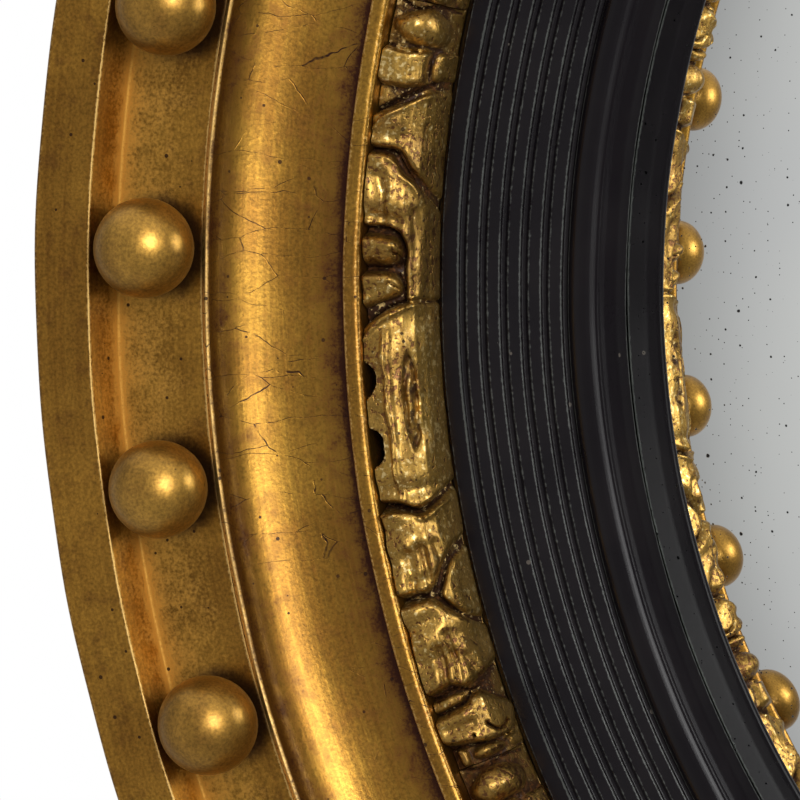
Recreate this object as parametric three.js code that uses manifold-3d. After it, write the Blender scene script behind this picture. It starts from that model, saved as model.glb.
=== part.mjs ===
// A round convex "butler's" mirror with a gilt and ebonised frame, in millimetres.
//
// The mirror hangs on a wall. Its axis is Y: the plane y = 0 is the back, which lies
// against the wall, and the glass looks towards -Y. +Z is up. A depth below is a height
// over the back plane, so a point at depth d lies at y = -d.
//
// From the outside in: a turned outer ring with a flat fillet and a channel of gilt
// balls, a turned hollow moulding with a small step, a carved leaf band, an ebonised
// reeded slip, and the convex glass. Behind them are a packing ring, a backboard with
// its screws, and two strap hangers with a swinging ring each.

import * as THREE from "three";
import { mergeVertices } from "three/addons/utils/BufferGeometryUtils.js";
import Module from "manifold-3d";

const wasm = await Module();
wasm.setup();

// ---------------------------------------------------------------- driving sizes, mm

// Outer ring: flat fillet, then a channel whose wall leans in to a flat floor.
const OUTER_DIAMETER = 900;
const FRAME_DEPTH = 88;
const BACK_INSET = 12; // the back edge is this much smaller in radius than the face
const BACK_EDGE_CHAMFER = 3;
const SIDE_FLAT_DEPTH = 34;
const FACE_EDGE_DEPTH = 15;
const FACE_EDGE_ROUND = 2;
const ROUND_MIDDLE_SHARE = 0.3; // a round's middle point, in from its corner, of its radius
const SIDE_HOLLOW_SHARE = 0.6; // of the back inset, reached half-way down the hollow side
const FILLET_WIDTH = 17.6;
const CHANNEL_DEPTH = 11;
const CHANNEL_WALL_LEAN = 4;
const CHANNEL_FLOOR_WIDTH = 26.4;

// Gilt balls: flat where they sit on the channel floor.
const BALL_COUNT = 38;
const BALL_DIAMETER = 28.2;
const BALL_SEAT_FLAT = 1.4;
const BALL_SHIFT_IN = 0.8; // from the middle of the floor towards the glass
const BALL_PHASE_DEG = 1.43; // first ball above the left-hand end of the diameter

// Hollow moulding: a fine lip, a wide hollow, a groove and a small flat step.
const LIP_WIDTH = 2.4;
const LIP_RISE = 1.2;
const LIP_CREST_OFFSET = 0.8; // from the hollow's edge out to the lip's crest
const HOLLOW_WIDTH = 33.6;
const HOLLOW_DROP = 17;
const GROOVE_WIDTH = 3.4;
const STEP_RISE = 8;
const STEP_WIDTH = 5;
const STEP_ROUND = 0.8;
const SHELF_DROP = 26; // from the step's top down to the shelf that carries the leaf band
const SHELF_THICKNESS = 5;
const SHELF_OVERHANG = 10; // the shelf's nose over the slip's rebate

// Carved leaf band: its height over the shelf swells and sinks from leaf to leaf.
const LEAF_BAND_WIDTH = 17;
const LEAF_NOSE = 2.6; // how far its inner edge stands in over the slip
const LEAF_NOSE_RISE = 3;
const LEAF_SIDE_RADIUS_SHARE = 0.35; // of the way from the nose to the crest, where the
const LEAF_SIDE_HEIGHT_SHARE = 0.75; // steep inner side bends over; this much of the rise
const LEAF_OUTER_HEIGHT = 20;
const LEAF_CREST_HEIGHT = 21;
const LEAF_CREST_SWELL = 4;
const LEAF_REPEATS = 10;
const LEAF_CRESTS = [1, 0.6, 0.15, 0.8, 0.5, 0.9, 0.2]; // of the swell, once along a repeat

// Ebonised slip: a plain edge, grooves cut between flat reeds, a bead and a cove.
const SLIP_EDGE_WIDTH = 4.8;
const SLIP_FALL = 8; // from its outer edge down to its bead
const REED_GROOVES = 6;
const REED_GROOVE_WIDTH = 2.4;
const REED_GROOVE_DEPTH = 1.2;
const REED_FLAT_WIDTH = 3.39;
const BEAD_WIDTH = 9;
const BEAD_RISE = 2.6;
const COVE_WIDTH = 4.6;
const COVE_BELLY_SHARE = 0.3; // of the cove's width, reached half-way down it
const GLASS_LAP = 6.8; // how far the slip laps over the glass

// Glass: a thin cap cut from a sphere.
const GLASS_CURVE_RADIUS = 600;
const GLASS_THICKNESS = 4;

// Packing ring, backboard and their screws.
const PACKING_WIDTH = 14;
const PACKING_HEIGHT = 6.65; // at its outer side, under the glass's edge
const BACKBOARD_THICKNESS = 9;
const BOARD_SCREW_COUNT = 6;
const BOARD_SCREW_LENGTH = 25;
const BOARD_SCREW_INSET = 26; // from the backboard's edge
const SCREW_SHANK_RADIUS = 2;
const SCREW_HEAD_RADIUS = 4;
const SCREW_POINT = 4;
const COUNTERSINK_DEPTH = 2.6;
const COUNTERSINK_RECESS = 0.4;
const HEAD_SHOULDER_RADIUS_SHARE = 0.8; // of a round head's radius, where its dome begins
const HEAD_SHOULDER_HEIGHT_SHARE = 0.7; // of its height

// Strap hangers on the back.
const HANGER_HEIGHT = 150; // over the middle of the mirror
const STRAP_LENGTH = 44;
const STRAP_WIDTH = 16;
const STRAP_THICKNESS = 1.2;
const STRAP_FROM_RIM = 14; // from the outer ring's back edge to the strap's end
const STRAP_SCREW_LENGTH = 22;
const STRAP_SCREW_HEAD = 2.2;
const RING_WIRE_RADIUS = 2;
const RING_REACH = 20; // from the pivot to the middle of the ring's far side
const RING_HALF_WIDTH = 10.5;
const NEAR_SCREW_OFFSET = 10;
const FAR_SCREW_OFFSET = 31;

// Clearances.
const FIT_GAP = 0.3; // between pieces that drop into each other
const GLASS_EDGE_GAP = 0.5;
const CUT_PAST = 1; // how far a cutter runs on past the face that it opens

// Facets.
const RING_FACETS = 70;
const BALL_FACETS = 10;
const BALL_RINGS = 5;
const SCREW_FACETS = 8;
const WIRE_FACETS = 6;
const HOLLOW_STEPS = 7;
const GLASS_STEPS = 6;
const BEAD_STEPS = 4;
const EYE_STEPS = 6;
const RING_BEND_STEPS = 8;
const RING_BAR_STEPS = 2;
const MITRE_LIMIT = 0.7; // least cosine of half the turn at a bend of the wire
const WELD_DISTANCE = 1e-4;

// ---------------------------------------------------------------- worked-out places

const outerRadius = OUTER_DIAMETER / 2;
const filletInner = outerRadius - FILLET_WIDTH;
const floorOuter = filletInner - CHANNEL_WALL_LEAN;
const floorInner = floorOuter - CHANNEL_FLOOR_WIDTH;
const hollowOuter = floorInner - LIP_WIDTH;
const hollowInner = hollowOuter - HOLLOW_WIDTH;
const stepOuter = hollowInner - GROOVE_WIDTH;
const stepInner = stepOuter - STEP_WIDTH;
const leafInner = stepInner - LEAF_BAND_WIDTH;
const shelfInner = leafInner + LEAF_NOSE;
const rebateRadius = shelfInner + SHELF_OVERHANG;
const reedPitch = REED_FLAT_WIDTH + REED_GROOVE_WIDTH;
const reedsOuter = leafInner - SLIP_EDGE_WIDTH;
const beadOuter = reedsOuter - REED_GROOVES * reedPitch + REED_FLAT_WIDTH;
const beadInner = beadOuter - BEAD_WIDTH;
const sightRadius = beadInner - COVE_WIDTH;
const glassRadius = sightRadius + GLASS_LAP;

const floorDepth = FRAME_DEPTH - CHANNEL_DEPTH;
const grooveDepth = floorDepth - HOLLOW_DROP;
const stepDepth = grooveDepth + STEP_RISE;
const shelfDepth = stepDepth - SHELF_DROP;
const slipEdgeDepth = shelfDepth + LEAF_NOSE_RISE - 2 * FIT_GAP;
const beadDepth = slipEdgeDepth - SLIP_FALL;

// The glass stands on the packing ring, so its height over the backboard sets the sphere's
// centre, and the cove of the slip reaches down to it.
const glassEdgeDepth = BACKBOARD_THICKNESS + PACKING_HEIGHT + FIT_GAP;
const glassBackRadius = GLASS_CURVE_RADIUS - GLASS_THICKNESS;
const sphereCentre = glassEdgeDepth - Math.sqrt(glassBackRadius ** 2 - glassRadius ** 2);
const sightDepth = sphereCentre + Math.sqrt(GLASS_CURVE_RADIUS ** 2 - sightRadius ** 2);

// ---------------------------------------------------------------- materials

const oldGold = new THREE.MeshStandardMaterial({
  color: 0xb08a3e,
  metalness: 0.9,
  roughness: 0.36,
});
const ballGold = new THREE.MeshStandardMaterial({
  color: 0xc29a4c,
  metalness: 0.95,
  roughness: 0.3,
});
const leafGold = new THREE.MeshStandardMaterial({
  color: 0xc0a35c,
  metalness: 0.9,
  roughness: 0.42,
});
const ebonised = new THREE.MeshStandardMaterial({
  color: 0x1c191c,
  metalness: 0,
  roughness: 0.32,
});
const silvered = new THREE.MeshStandardMaterial({
  color: 0xdde2e2,
  metalness: 1,
  roughness: 0.04,
});
const rawPine = new THREE.MeshStandardMaterial({
  color: 0xb58a58,
  metalness: 0,
  roughness: 0.75,
});
const blackBoard = new THREE.MeshStandardMaterial({
  color: 0x3a332b,
  metalness: 0,
  roughness: 0.85,
});
const steel = new THREE.MeshStandardMaterial({
  color: 0xb9bcbe,
  metalness: 1,
  roughness: 0.35,
});

// ---------------------------------------------------------------- shape helpers

// A closed solid from a geometry, ready to be joined or cut.
function solidOf(geometry) {
  const bare = geometry.clone();
  bare.deleteAttribute("normal");
  bare.deleteAttribute("uv");
  const merged = mergeVertices(bare, WELD_DISTANCE);
  return new wasm.Manifold(
    new wasm.Mesh({
      numProp: 3,
      vertProperties: new Float32Array(merged.attributes.position.array),
      triVerts: new Uint32Array(merged.index.array),
    }),
  );
}

function geometryOf(solid) {
  const mesh = solid.getMesh();
  const geometry = new THREE.BufferGeometry();
  geometry.setAttribute("position", new THREE.BufferAttribute(mesh.vertProperties, 3));
  geometry.setIndex(new THREE.BufferAttribute(mesh.triVerts, 1));
  geometry.computeVertexNormals();
  return geometry;
}

// Cuts every cutter out of a geometry.
function cut(geometry, cutters) {
  let solid = solidOf(geometry);
  for (const cutter of cutters) {
    solid = solid.subtract(solidOf(cutter));
  }
  return geometryOf(solid);
}

// A profile of [radius, depth] pairs, turned round the mirror's axis.
function turned(profile, facets = RING_FACETS) {
  const points = profile.map(([radius, depth]) => new THREE.Vector2(radius, -depth));
  return new THREE.LatheGeometry(points, facets);
}

// The same for a ring: its profile closes on itself.
function turnedRing(profile) {
  return turned([...profile, profile[0]]);
}

// A ring whose section changes on its way round: sectionAt gives [radius, depth] pairs.
function carvedRing(sectionAt) {
  const positions = [];
  const faces = [];
  const count = sectionAt(0).length;
  for (let i = 0; i < RING_FACETS; i++) {
    const angle = (i / RING_FACETS) * 2 * Math.PI;
    for (const [radius, depth] of sectionAt(i)) {
      positions.push(radius * Math.sin(angle), -depth, radius * Math.cos(angle));
    }
    for (let j = 0; j < count; j++) {
      const here = i * count + j;
      const next = i * count + ((j + 1) % count);
      const across = ((i + 1) % RING_FACETS) * count + j;
      const corner = ((i + 1) % RING_FACETS) * count + ((j + 1) % count);
      faces.push(here, across, next, next, across, corner);
    }
  }
  const geometry = new THREE.BufferGeometry();
  geometry.setAttribute("position", new THREE.Float32BufferAttribute(positions, 3));
  geometry.setIndex(faces);
  geometry.computeVertexNormals();
  return geometry;
}

// Points along a quarter of an ellipse, from t = 0 to t = 1.
function quarter(steps, radiusAt, depthAt) {
  const points = [];
  for (let i = 0; i <= steps; i++) {
    const turn = (i / steps) * (Math.PI / 2);
    points.push([radiusAt(turn), depthAt(turn)]);
  }
  return points;
}

// The glass's front or back surface: depth at a radius from the axis.
function glassDepth(radius, inset) {
  return sphereCentre + Math.sqrt((GLASS_CURVE_RADIUS - inset) ** 2 - radius ** 2);
}

const root = new THREE.Group();

function add(name, geometry, material, parent = root) {
  const mesh = new THREE.Mesh(geometry, material);
  mesh.name = name;
  parent.add(mesh);
  return mesh;
}

// ---------------------------------------------------------------- screws

// A wood screw along Y with a flat countersunk head; its head's top is at y = 0.
function countersunkScrew(length) {
  return turned(
    [
      [0, length],
      [SCREW_SHANK_RADIUS, length - SCREW_POINT],
      [SCREW_SHANK_RADIUS, COUNTERSINK_DEPTH],
      [SCREW_HEAD_RADIUS, 0],
      [0, 0],
    ],
    SCREW_FACETS,
  );
}

// What a countersunk screw is let into, up past the board's face.
function countersinkCutter(length) {
  const head = SCREW_HEAD_RADIUS + FIT_GAP;
  const shank = SCREW_SHANK_RADIUS + FIT_GAP;
  return turned(
    [
      [0, length + FIT_GAP],
      [shank, length + FIT_GAP],
      [shank, COUNTERSINK_DEPTH],
      [head, 0],
      [head, -COUNTERSINK_RECESS - CUT_PAST],
      [0, -COUNTERSINK_RECESS - CUT_PAST],
    ],
    SCREW_FACETS,
  );
}

// A round-head screw along Y; the underside of its head is at y = 0.
function roundHeadScrew(length) {
  return turned(
    [
      [0, length],
      [SCREW_SHANK_RADIUS, length - SCREW_POINT],
      [SCREW_SHANK_RADIUS, 0],
      [SCREW_HEAD_RADIUS, 0],
      [
        SCREW_HEAD_RADIUS * HEAD_SHOULDER_RADIUS_SHARE,
        -STRAP_SCREW_HEAD * HEAD_SHOULDER_HEIGHT_SHARE,
      ],
      [0, -STRAP_SCREW_HEAD],
    ],
    SCREW_FACETS,
  );
}

// A screw's hole along Y, from above the face at y = 0 to just past the screw's point.
function pilotHole(length, above) {
  const radius = SCREW_SHANK_RADIUS + FIT_GAP;
  return turned(
    [
      [0, length + FIT_GAP],
      [radius, length + FIT_GAP],
      [radius, -above],
      [0, -above],
    ],
    SCREW_FACETS,
  );
}

// ---------------------------------------------------------------- hanger places

// Each hanger lies level on the back of the frame, its ring towards the middle. side is
// -1 or 1; a distance along the strap is counted outwards from the ring's pivot.
const backRimRadius = outerRadius - BACK_INSET;
const strapEnd = Math.sqrt(backRimRadius ** 2 - HANGER_HEIGHT ** 2) - STRAP_FROM_RIM;
const pivotX = strapEnd - STRAP_LENGTH;
const pivotY = STRAP_THICKNESS + FIT_GAP + RING_WIRE_RADIUS;
const strapScrewPlaces = [];
for (const side of [-1, 1]) {
  for (const offset of [NEAR_SCREW_OFFSET, FAR_SCREW_OFFSET]) {
    strapScrewPlaces.push({ side, x: side * (pivotX + offset) });
  }
}
const strapPilots = strapScrewPlaces.map(({ x }) =>
  pilotHole(STRAP_SCREW_LENGTH, CUT_PAST).translate(x, 0, HANGER_HEIGHT),
);

// ---------------------------------------------------------------- outer ring

// Turned wood, gessoed and gilt: side, flat fillet and the channel that holds the balls.
const edgeRoundMiddle = FACE_EDGE_ROUND * ROUND_MIDDLE_SHARE;
const outerRing = turnedRing([
  [floorInner, 0],
  [floorInner, floorDepth],
  [floorOuter, floorDepth],
  [filletInner, FRAME_DEPTH],
  [outerRadius - FACE_EDGE_ROUND, FRAME_DEPTH],
  [outerRadius - edgeRoundMiddle, FRAME_DEPTH - edgeRoundMiddle],
  [outerRadius, FRAME_DEPTH - FACE_EDGE_ROUND],
  [outerRadius, FRAME_DEPTH - FACE_EDGE_DEPTH],
  [
    outerRadius - BACK_INSET * SIDE_HOLLOW_SHARE,
    (FRAME_DEPTH - FACE_EDGE_DEPTH + SIDE_FLAT_DEPTH) / 2,
  ],
  [backRimRadius + BACK_EDGE_CHAMFER, SIDE_FLAT_DEPTH],
  [backRimRadius + BACK_EDGE_CHAMFER, BACK_EDGE_CHAMFER],
  [backRimRadius, 0],
]);
add("outer_ring", cut(outerRing, strapPilots), oldGold);

// ---------------------------------------------------------------- gilt balls

const ballRadius = BALL_DIAMETER / 2;
const ballCircle = (floorOuter + floorInner) / 2 - BALL_SHIFT_IN;
const ballDepth = floorDepth + ballRadius - BALL_SEAT_FLAT;

// A turned ball, cut flat at its seat, with its pole towards the room.
function ballProfile() {
  const seatAngle = Math.acos(1 - BALL_SEAT_FLAT / ballRadius);
  const profile = [[0, floorDepth]];
  for (let i = 0; i < BALL_RINGS; i++) {
    const angle = seatAngle + (i / BALL_RINGS) * (Math.PI - seatAngle);
    const depth = i === 0 ? floorDepth : ballDepth - ballRadius * Math.cos(angle);
    profile.push([ballRadius * Math.sin(angle), depth]);
  }
  profile.push([0, ballDepth + ballRadius]);
  return profile.reverse();
}

for (let i = 0; i < BALL_COUNT; i++) {
  const angle = (i / BALL_COUNT) * 2 * Math.PI - THREE.MathUtils.degToRad(BALL_PHASE_DEG);
  const ball = add(
    "gilt_ball_" + String(i + 1).padStart(2, "0"),
    turned(ballProfile(), BALL_FACETS),
    ballGold,
  );
  ball.position.set(-ballCircle * Math.cos(angle), 0, -ballCircle * Math.sin(angle));
}

// ---------------------------------------------------------------- hollow moulding

// Turned wood, gessoed and gilt. The hollow is a quarter of an ellipse, steep at the lip
// and flat at the groove. Its back is rebated for the slip and the backboard.
const hollowCurve = quarter(
  HOLLOW_STEPS,
  (turn) => hollowInner + HOLLOW_WIDTH * Math.cos(turn),
  (turn) => floorDepth - HOLLOW_DROP * Math.sin(turn),
);
const hollowRing = turnedRing([
  [floorInner, 0],
  [rebateRadius, 0],
  [rebateRadius, shelfDepth - SHELF_THICKNESS],
  [shelfInner, shelfDepth - SHELF_THICKNESS],
  [shelfInner, shelfDepth],
  [stepInner, shelfDepth],
  [stepInner, stepDepth - STEP_ROUND],
  [stepInner + STEP_ROUND, stepDepth],
  [stepOuter - STEP_ROUND, stepDepth],
  [stepOuter, stepDepth - STEP_ROUND],
  [stepOuter, grooveDepth],
  ...hollowCurve.reverse(),
  [hollowOuter + LIP_CREST_OFFSET, floorDepth + LIP_RISE],
  [floorInner, floorDepth],
]);
add("hollow_moulding_ring", cut(hollowRing, strapPilots), oldGold);

// ---------------------------------------------------------------- carved leaf band

// Carved wood on the shelf inside the step, leaning in over the slip.
const leafOuter = stepInner - FIT_GAP;
const leafCrestRadius = (leafOuter + leafInner) / 2;
const facetsPerRepeat = RING_FACETS / LEAF_REPEATS;

function leafSection(facet) {
  const along = ((facet % facetsPerRepeat) / facetsPerRepeat) * LEAF_CRESTS.length;
  const swell = LEAF_CREST_SWELL * LEAF_CRESTS[Math.floor(along)];
  const crest = shelfDepth + LEAF_CREST_HEIGHT + swell;
  const nose = shelfDepth + LEAF_NOSE_RISE;
  const sideRadius = leafInner + (leafCrestRadius - leafInner) * LEAF_SIDE_RADIUS_SHARE;
  return [
    [leafOuter, shelfDepth],
    [shelfInner, shelfDepth],
    [leafInner, nose],
    [sideRadius, nose + (crest - nose) * LEAF_SIDE_HEIGHT_SHARE],
    [leafCrestRadius, crest],
    [leafOuter, shelfDepth + LEAF_OUTER_HEIGHT + swell / 2],
  ];
}
add("carved_leaf_band", carvedRing(leafSection), leafGold);

// ---------------------------------------------------------------- reeded slip

// Ebonised wood: flat reeds with grooves between them fall gently to a bead, and a cove
// drops from the bead to the glass. A lap at its back takes the edge of the glass.
function reededProfile() {
  const fall = SLIP_FALL / (reedsOuter - beadOuter);
  const faceDepth = (radius) => slipEdgeDepth - (reedsOuter - radius) * fall;
  const profile = [[reedsOuter, slipEdgeDepth]];
  for (let i = 0; i < REED_GROOVES; i++) {
    const outer = reedsOuter - i * reedPitch;
    const inner = outer - REED_GROOVE_WIDTH;
    if (i > 0) {
      profile.push([outer, faceDepth(outer)]);
    }
    profile.push([(outer + inner) / 2, faceDepth(inner) - REED_GROOVE_DEPTH]);
    profile.push([inner, faceDepth(inner)]);
  }
  return profile;
}

function beadProfile() {
  const profile = [];
  for (let i = 1; i <= BEAD_STEPS; i++) {
    const turn = (i / BEAD_STEPS) * Math.PI;
    const radius = (beadOuter + beadInner) / 2 + (BEAD_WIDTH / 2) * Math.cos(turn);
    profile.push([radius, beadDepth + BEAD_RISE * Math.sin(turn)]);
  }
  return profile;
}

const slipOuter = rebateRadius - FIT_GAP;
const slipNeck = shelfInner - FIT_GAP;
const glassSeat = sightDepth + FIT_GAP;
const boardScrews = [];
const boardRadius = rebateRadius - FIT_GAP;
const boardScrewCircle = boardRadius - BOARD_SCREW_INSET;
for (let i = 0; i < BOARD_SCREW_COUNT; i++) {
  const angle = ((i + 0.5) / BOARD_SCREW_COUNT) * 2 * Math.PI;
  boardScrews.push({
    x: boardScrewCircle * Math.cos(angle),
    z: boardScrewCircle * Math.sin(angle),
  });
}
const boardCutters = boardScrews.map(({ x, z }) =>
  countersinkCutter(BOARD_SCREW_LENGTH).translate(x, -COUNTERSINK_RECESS, z),
);

const reededSlip = turnedRing([
  [slipOuter, BACKBOARD_THICKNESS],
  [glassRadius + GLASS_EDGE_GAP, BACKBOARD_THICKNESS],
  [glassRadius + GLASS_EDGE_GAP, glassSeat],
  [sightRadius, glassSeat],
  [sightRadius + COVE_WIDTH * COVE_BELLY_SHARE, (glassSeat + beadDepth) / 2],
  ...beadProfile().reverse(),
  ...reededProfile().reverse(),
  [leafInner, slipEdgeDepth],
  [slipNeck, shelfDepth - FIT_GAP],
  [slipNeck, shelfDepth - SHELF_THICKNESS - FIT_GAP],
  [slipOuter, shelfDepth - SHELF_THICKNESS - FIT_GAP],
]);
add("reeded_slip", cut(reededSlip, boardCutters), ebonised);

// ---------------------------------------------------------------- convex glass

// Blown glass, silvered behind: a cap of even thickness.
function glassSurface(inset) {
  const surface = [];
  for (let i = 0; i <= GLASS_STEPS; i++) {
    const radius = (i / GLASS_STEPS) * glassRadius;
    surface.push([radius, glassDepth(radius, inset)]);
  }
  return surface;
}
const glassProfile = [...glassSurface(0), ...glassSurface(GLASS_THICKNESS).reverse()];
add("convex_glass", turned(glassProfile), silvered);

// ---------------------------------------------------------------- packing ring

// A softwood ring that the backboard presses against the back of the glass.
const packingInner = glassRadius - PACKING_WIDTH;
const lastFacetInner = glassRadius * (1 - 1 / GLASS_STEPS);

// Just under the glass's last facet, which is straight from its inner edge to the rim.
function packingTop(radius) {
  const rim = glassDepth(glassRadius, GLASS_THICKNESS);
  const inner = glassDepth(lastFacetInner, GLASS_THICKNESS);
  const share = (glassRadius - radius) / (glassRadius - lastFacetInner);
  return rim + (inner - rim) * share - FIT_GAP;
}
add(
  "glass_packing_ring",
  turnedRing([
    [packingInner, BACKBOARD_THICKNESS],
    [packingInner, packingTop(packingInner)],
    [glassRadius, packingTop(glassRadius)],
    [glassRadius, BACKBOARD_THICKNESS],
  ]),
  rawPine,
);

// ---------------------------------------------------------------- backboard and screws

// A round board let in flush with the back of the frame.
const backboard = turned([
  [0, BACKBOARD_THICKNESS],
  [boardRadius, BACKBOARD_THICKNESS],
  [boardRadius, 0],
  [0, 0],
]);
add("backboard", cut(backboard, boardCutters), blackBoard);

boardScrews.forEach(({ x, z }, i) => {
  const screw = add("backboard_screw_" + (i + 1), countersunkScrew(BOARD_SCREW_LENGTH), steel);
  screw.position.set(x, -COUNTERSINK_RECESS, z);
});

// ---------------------------------------------------------------- strap hangers

// A strap folded round the ring's straight side, with a hole for each screw.
function strapGeometry(side) {
  const knuckle = RING_WIRE_RADIUS + FIT_GAP + STRAP_THICKNESS;
  const knuckleStart = -Math.asin((pivotY - STRAP_THICKNESS) / knuckle);
  const outline = new THREE.Shape();
  outline.moveTo(0, 0);
  outline.lineTo(STRAP_LENGTH, 0);
  outline.lineTo(STRAP_LENGTH, STRAP_THICKNESS);
  outline.absarc(0, pivotY, knuckle, knuckleStart, (3 / 2) * Math.PI, false);
  const eye = new THREE.Path();
  eye.absarc(0, pivotY, RING_WIRE_RADIUS + FIT_GAP, 0, 2 * Math.PI, true);
  outline.holes.push(eye);
  const plate = new THREE.ExtrudeGeometry(outline, {
    depth: STRAP_WIDTH,
    bevelEnabled: false,
    curveSegments: EYE_STEPS,
  }).translate(0, 0, -STRAP_WIDTH / 2);
  const holes = [NEAR_SCREW_OFFSET, FAR_SCREW_OFFSET].map((offset) =>
    pilotHole(0, STRAP_THICKNESS + CUT_PAST).translate(offset, 0, 0),
  );
  const strap = cut(plate, holes);
  return side > 0 ? strap : strap.rotateY(Math.PI);
}

// The ring: a straight side through the strap's eye and a round side, in round wire.
function ringGeometry(side) {
  const path = [];
  const legReach = RING_REACH - RING_HALF_WIDTH;
  for (let i = 0; i <= RING_BEND_STEPS; i++) {
    const turn = (i / RING_BEND_STEPS) * Math.PI;
    path.push([-legReach - RING_HALF_WIDTH * Math.sin(turn), RING_HALF_WIDTH * Math.cos(turn)]);
  }
  for (let i = 0; i <= RING_BAR_STEPS; i++) {
    path.push([0, RING_HALF_WIDTH * ((2 * i) / RING_BAR_STEPS - 1)]);
  }
  const positions = [];
  const faces = [];
  const count = path.length;
  path.forEach(([x, z], i) => {
    const before = path[(i + count - 1) % count];
    const after = path[(i + 1) % count];
    const inward = new THREE.Vector2(after[0] - x, after[1] - z).normalize();
    const outward = new THREE.Vector2(x - before[0], z - before[1]).normalize();
    const along = inward.clone().add(outward).normalize();
    const spread = 1 / Math.max(MITRE_LIMIT, along.dot(inward));
    for (let j = 0; j < WIRE_FACETS; j++) {
      const turn = (j / WIRE_FACETS) * 2 * Math.PI;
      const across = RING_WIRE_RADIUS * Math.cos(turn) * spread;
      const lift = pivotY + RING_WIRE_RADIUS * Math.sin(turn);
      positions.push(side * (x + along.y * across), lift, z - along.x * across);
      const here = i * WIRE_FACETS + j;
      const next = i * WIRE_FACETS + ((j + 1) % WIRE_FACETS);
      const ahead = ((i + 1) % count) * WIRE_FACETS + j;
      const corner = ((i + 1) % count) * WIRE_FACETS + ((j + 1) % WIRE_FACETS);
      if (side > 0) {
        faces.push(here, next, ahead, next, corner, ahead);
      } else {
        faces.push(here, ahead, next, next, ahead, corner);
      }
    }
  });
  const geometry = new THREE.BufferGeometry();
  geometry.setAttribute("position", new THREE.Float32BufferAttribute(positions, 3));
  geometry.setIndex(faces);
  geometry.computeVertexNormals();
  return geometry;
}

for (const side of [-1, 1]) {
  const label = side < 0 ? "left" : "right";
  const strap = add("hanger_strap_" + label, strapGeometry(side), steel);
  strap.position.set(side * pivotX, 0, HANGER_HEIGHT);
  const ring = add("hanger_ring_" + label, ringGeometry(side), steel);
  ring.position.set(side * pivotX, 0, HANGER_HEIGHT);
}
strapScrewPlaces.forEach(({ side, x }, i) => {
  const label = side < 0 ? "left_" : "right_";
  const screw = add(
    "hanger_screw_" + label + ((i % 2) + 1),
    roundHeadScrew(STRAP_SCREW_LENGTH),
    steel,
  );
  screw.position.set(x, STRAP_THICKNESS, HANGER_HEIGHT);
});

export default root;
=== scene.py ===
"""A round convex butler's mirror, seen close to from its left-hand side.

The mirror's axis is Y: the back lies at y = 0 against the wall, and the glass looks
towards -Y, with +Z up. Sizes in the sections are in millimetres: a radius is counted
from the axis, a depth from the back. An angle round the mirror is counted from its
left-hand end downwards.
"""

import bmesh
import bpy
import numpy as np
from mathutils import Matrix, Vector


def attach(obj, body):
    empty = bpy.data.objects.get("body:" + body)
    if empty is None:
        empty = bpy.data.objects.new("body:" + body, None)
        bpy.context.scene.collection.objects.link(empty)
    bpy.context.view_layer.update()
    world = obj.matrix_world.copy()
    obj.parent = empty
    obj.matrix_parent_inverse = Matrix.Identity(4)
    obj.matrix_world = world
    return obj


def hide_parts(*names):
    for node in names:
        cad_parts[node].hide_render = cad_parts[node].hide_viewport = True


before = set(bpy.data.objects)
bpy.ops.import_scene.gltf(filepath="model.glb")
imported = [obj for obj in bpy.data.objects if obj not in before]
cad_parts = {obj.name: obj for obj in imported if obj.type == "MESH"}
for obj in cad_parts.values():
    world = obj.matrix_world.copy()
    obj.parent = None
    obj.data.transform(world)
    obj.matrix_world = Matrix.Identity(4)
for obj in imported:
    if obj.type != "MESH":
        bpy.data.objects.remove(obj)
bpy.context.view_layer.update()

# ---------- the room
# The camera stands close in front of the mirror and looks at its left-hand side through
# a long lens. The floor is far below, as under a wall mirror, and fades into white.

scene = bpy.context.scene
scene.view_settings.view_transform = "Standard"

lens = bpy.data.cameras.new("camera")
lens.sensor_width = 36
lens.lens = 129.3
lens.clip_start = 0.05
camera = bpy.data.objects.new("camera", lens)
turn_left, tip_down = np.radians(19.55), np.radians(3.76)
level = np.cos(tip_down)
sight = Vector((-np.sin(turn_left) * level, np.cos(turn_left) * level, -np.sin(tip_down)))
camera.location = (-0.0737, -0.8321, 0.0209)
camera.rotation_euler = sight.to_track_quat("-Z", "Y").to_euler()
scene.collection.objects.link(camera)
scene.camera = camera


def place(tree, kind, inputs=None, **settings):
    """Adds a shader node, with its settings, and sets or links its inputs."""
    node = tree.nodes.new("ShaderNode" + kind)
    for name, value in settings.items():
        setattr(node, name, value)
    for name, value in (inputs or {}).items():
        if isinstance(value, bpy.types.NodeSocket):
            tree.links.new(value, node.inputs[name])
        else:
            node.inputs[name].default_value = value
    return node


def tree_of(values):
    """The node tree that the first linked value comes from."""
    return next(value.id_data for value in values if isinstance(value, bpy.types.NodeSocket))


def sums(operation, *values, clamp=False):
    """One Math node."""
    inputs = dict(enumerate(values))
    node = place(tree_of(values), "Math", inputs, operation=operation, use_clamp=clamp)
    return node.outputs[0]


def vectors(operation, *values):
    """One Vector Math node."""
    node = place(tree_of(values), "VectorMath", dict(enumerate(values)), operation=operation)
    return node.outputs["Value" if operation == "LENGTH" else "Vector"]


def ranged(value, low, high, start=0.0, end=1.0):
    """start where the value is low, end where it is high, and even between them."""
    inputs = {0: value, 1: low, 2: high, 3: start, 4: end}
    return place(value.id_data, "MapRange", inputs).outputs[0]


def between(value, low, high):
    """0 below low, 1 above high, and smooth between them."""
    inputs = {0: value, 1: low, 2: high}
    return place(value.id_data, "MapRange", inputs, interpolation_type="SMOOTHSTEP").outputs[0]


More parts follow.
